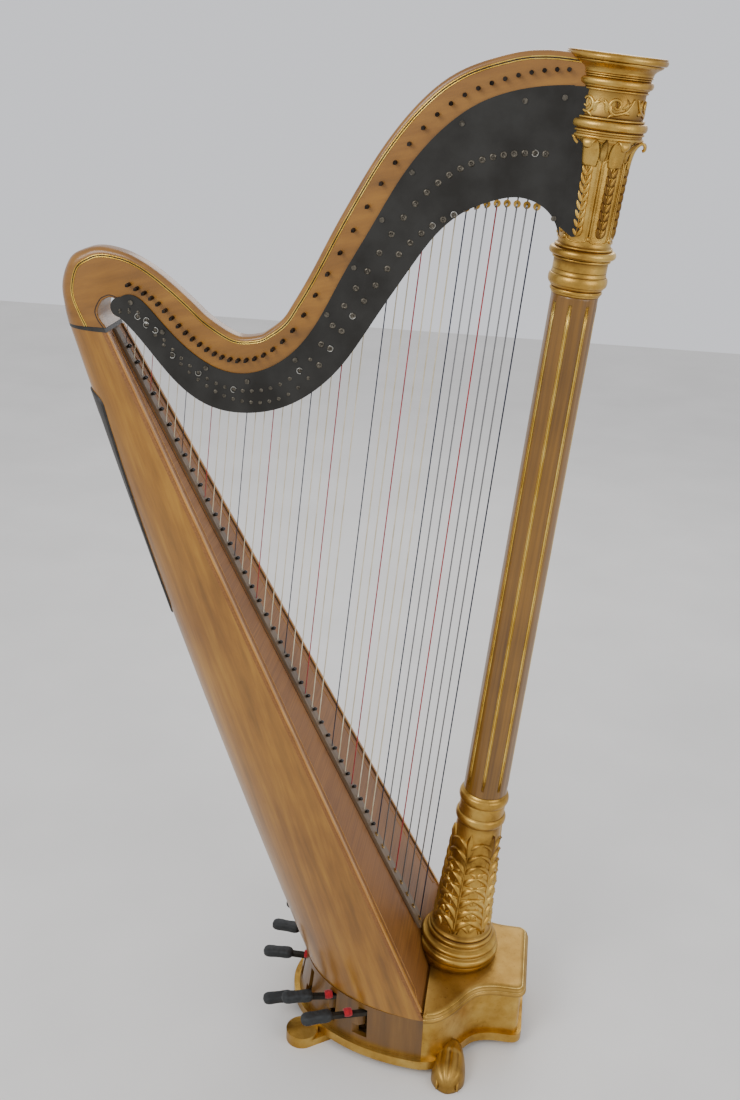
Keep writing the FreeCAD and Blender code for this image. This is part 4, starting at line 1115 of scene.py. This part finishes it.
def mainAxis(points):
    middle = sum(points, Vector()) / len(points)
    xx = sum((p.x - middle.x) ** 2 for p in points)
    yy = sum((p.y - middle.y) ** 2 for p in points)
    xy = sum((p.x - middle.x) * (p.y - middle.y) for p in points)
    angle = 0.5 * math.atan2(2 * xy, xx - yy)
    return middle, Vector((math.cos(angle), math.sin(angle), 0))


def makePedals():
    spec = shoeShape
    for name in "ABCDEFG":
        points = [v.co.copy() for v in nodes["pedal_shoe_" + name].data.vertices]
        low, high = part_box("pedal_shoe_" + name)
        middle, along = mainAxis(points)
        if along.x > 0:
            along = -along
        across = Vector((-along.y, along.x, 0))
        ends = [(p - middle).dot(along) for p in points]
        wides = [(p - middle).dot(across) for p in points]
        first, last = min(ends), max(ends)
        half, centre = (max(wides) - min(wides)) / 2, (max(wides) + min(wides)) / 2
        rings = []
        for i in range(31):
            t = i / 30
            u = 2 * t - 1
            tip = (1 - abs(u) ** 5) ** 0.4
            wide = half * (1 - spec["waist"] * math.cos(math.pi * u / 1.6) ** 2) * max(tip, 0.08)
            tall = (high.z - low.z) / 2 * max(tip, 0.12)
            ridge = 1 - 0.04 * abs(math.sin(spec["ribs"] * math.pi * t))
            ring = []
            for a in angles(28):
                c, d = math.cos(a), math.sin(a)
                x = wide * math.copysign(abs(c) ** spec["round"], c)
                z = tall * math.copysign(abs(d) ** spec["round"], d) * (ridge if d > 0 else 1)
                place = middle + along * (first + (last - first) * t) + across * (centre + x)
                ring.append(Vector((place.x, place.y, (low.z + high.z) / 2 + z)))
            rings.append(ring)
        addPiece(skinRings("rubberShoe_" + name, rings, rubber), "pedal_" + name, "rubber",
                 "pedal_shoe_" + name)
        # felt collar on the arm just outside its slot
        armPoints = [v.co.copy() for v in nodes["pedal_arm_" + name].data.vertices]
        near = [p for p in armPoints if first - 0.045 < (p - middle).dot(along) < first + 0.02]
        level = sum(p.z for p in near) / len(near) if near else (low.z + high.z) / 2
        begin = middle + along * (first - spec["feltBack"] / 1000) + across * centre
        rings = []
        for i in range(9):
            t = i / 8
            r = spec["feltRadius"] * (0.86 + 0.14 * math.sin(math.pi * t)) / 1000
            place = begin + along * (spec["feltLength"] / 1000 * t)
            ring = []
            for a in angles(20):
                rise = Vector((0, 0, r * spec["feltFlat"] * math.sin(a)))
                ring.append(Vector((place.x, place.y, level)) + across * (r * math.cos(a)) + rise)
            rings.append(ring)
        addPiece(skinRings("feltCollar_" + name, rings, felt), "pedal_" + name, None)
    print("pedals dressed")


makeNeck()
makePlateWork()
makeBoardLines()
makePlinth()
makeFeet()
makePedals()


# camera, light and floor

def makeStage():
    view = {"place": (0.3112, -1.9337, 1.7725), "yaw": 7.39, "down": 22.66, "roll": 2.51, "lens": 40.55}
    camera = bpy.data.objects.new("camera", bpy.data.cameras.new("camera"))
    bpy.context.scene.collection.objects.link(camera)
    camera.data.lens = view["lens"]
    camera.data.sensor_width = 36
    camera.data.sensor_fit = "AUTO"
    camera.data.clip_start = 0.05
    yaw, down, roll = (math.radians(view[k]) for k in ("yaw", "down", "roll"))
    forward = Vector((-math.sin(yaw) * math.cos(down), math.cos(yaw) * math.cos(down), -math.sin(down)))
    right = forward.cross(Vector((0, 0, 1))).normalized()
    up = right.cross(forward)
    tiltedRight = right * math.cos(roll) + up * math.sin(roll)
    tiltedUp = up * math.cos(roll) - right * math.sin(roll)
    camera.matrix_world = Matrix((
        (*[tiltedRight[0], tiltedUp[0], -forward[0]], view["place"][0]),
        (*[tiltedRight[1], tiltedUp[1], -forward[1]], view["place"][1]),
        (*[tiltedRight[2], tiltedUp[2], -forward[2]], view["place"][2]),
        (0, 0, 0, 1)))
    bpy.context.scene.camera = camera

    floor = newMesh("floor", [(-6, -6, 0), (6, -6, 0), (6, 6, 0), (-6, 6, 0)], [(0, 1, 2, 3)],
                    makeDull("paleFloor", "#e2e0dc", "#dad8d4", 0.8, grain=60, strength=0.05))
    world = bpy.data.worlds.new("studio")
    bpy.context.scene.world = world
    world.use_nodes = True
    world.node_tree.nodes["Background"].inputs["Color"].default_value = linear("#e2e3e8")
    world.node_tree.nodes["Background"].inputs["Strength"].default_value = 1.15
    lamps = {
        "keyLamp": ((-1.6, -2.6, 3.0), (0, 0, 0.9), 62, 1.6),
        "fillLamp": ((2.6, -1.6, 1.9), (0, 0, 0.9), 24, 1.8),
        "backLamp": ((0.3, 2.6, 2.8), (0, 0, 0.9), 30, 2.0),
    }
    for name, (place, target, power, size) in lamps.items():
        light = bpy.data.lights.new(name, "AREA")
        light.energy = power
        light.size = size
        lamp = bpy.data.objects.new(name, light)
        bpy.context.scene.collection.objects.link(lamp)
        lamp.location = place
        lamp.rotation_euler = (Vector(target) - Vector(place)).to_track_quat("-Z", "Y").to_euler()


makeStage()
print("stage ready")
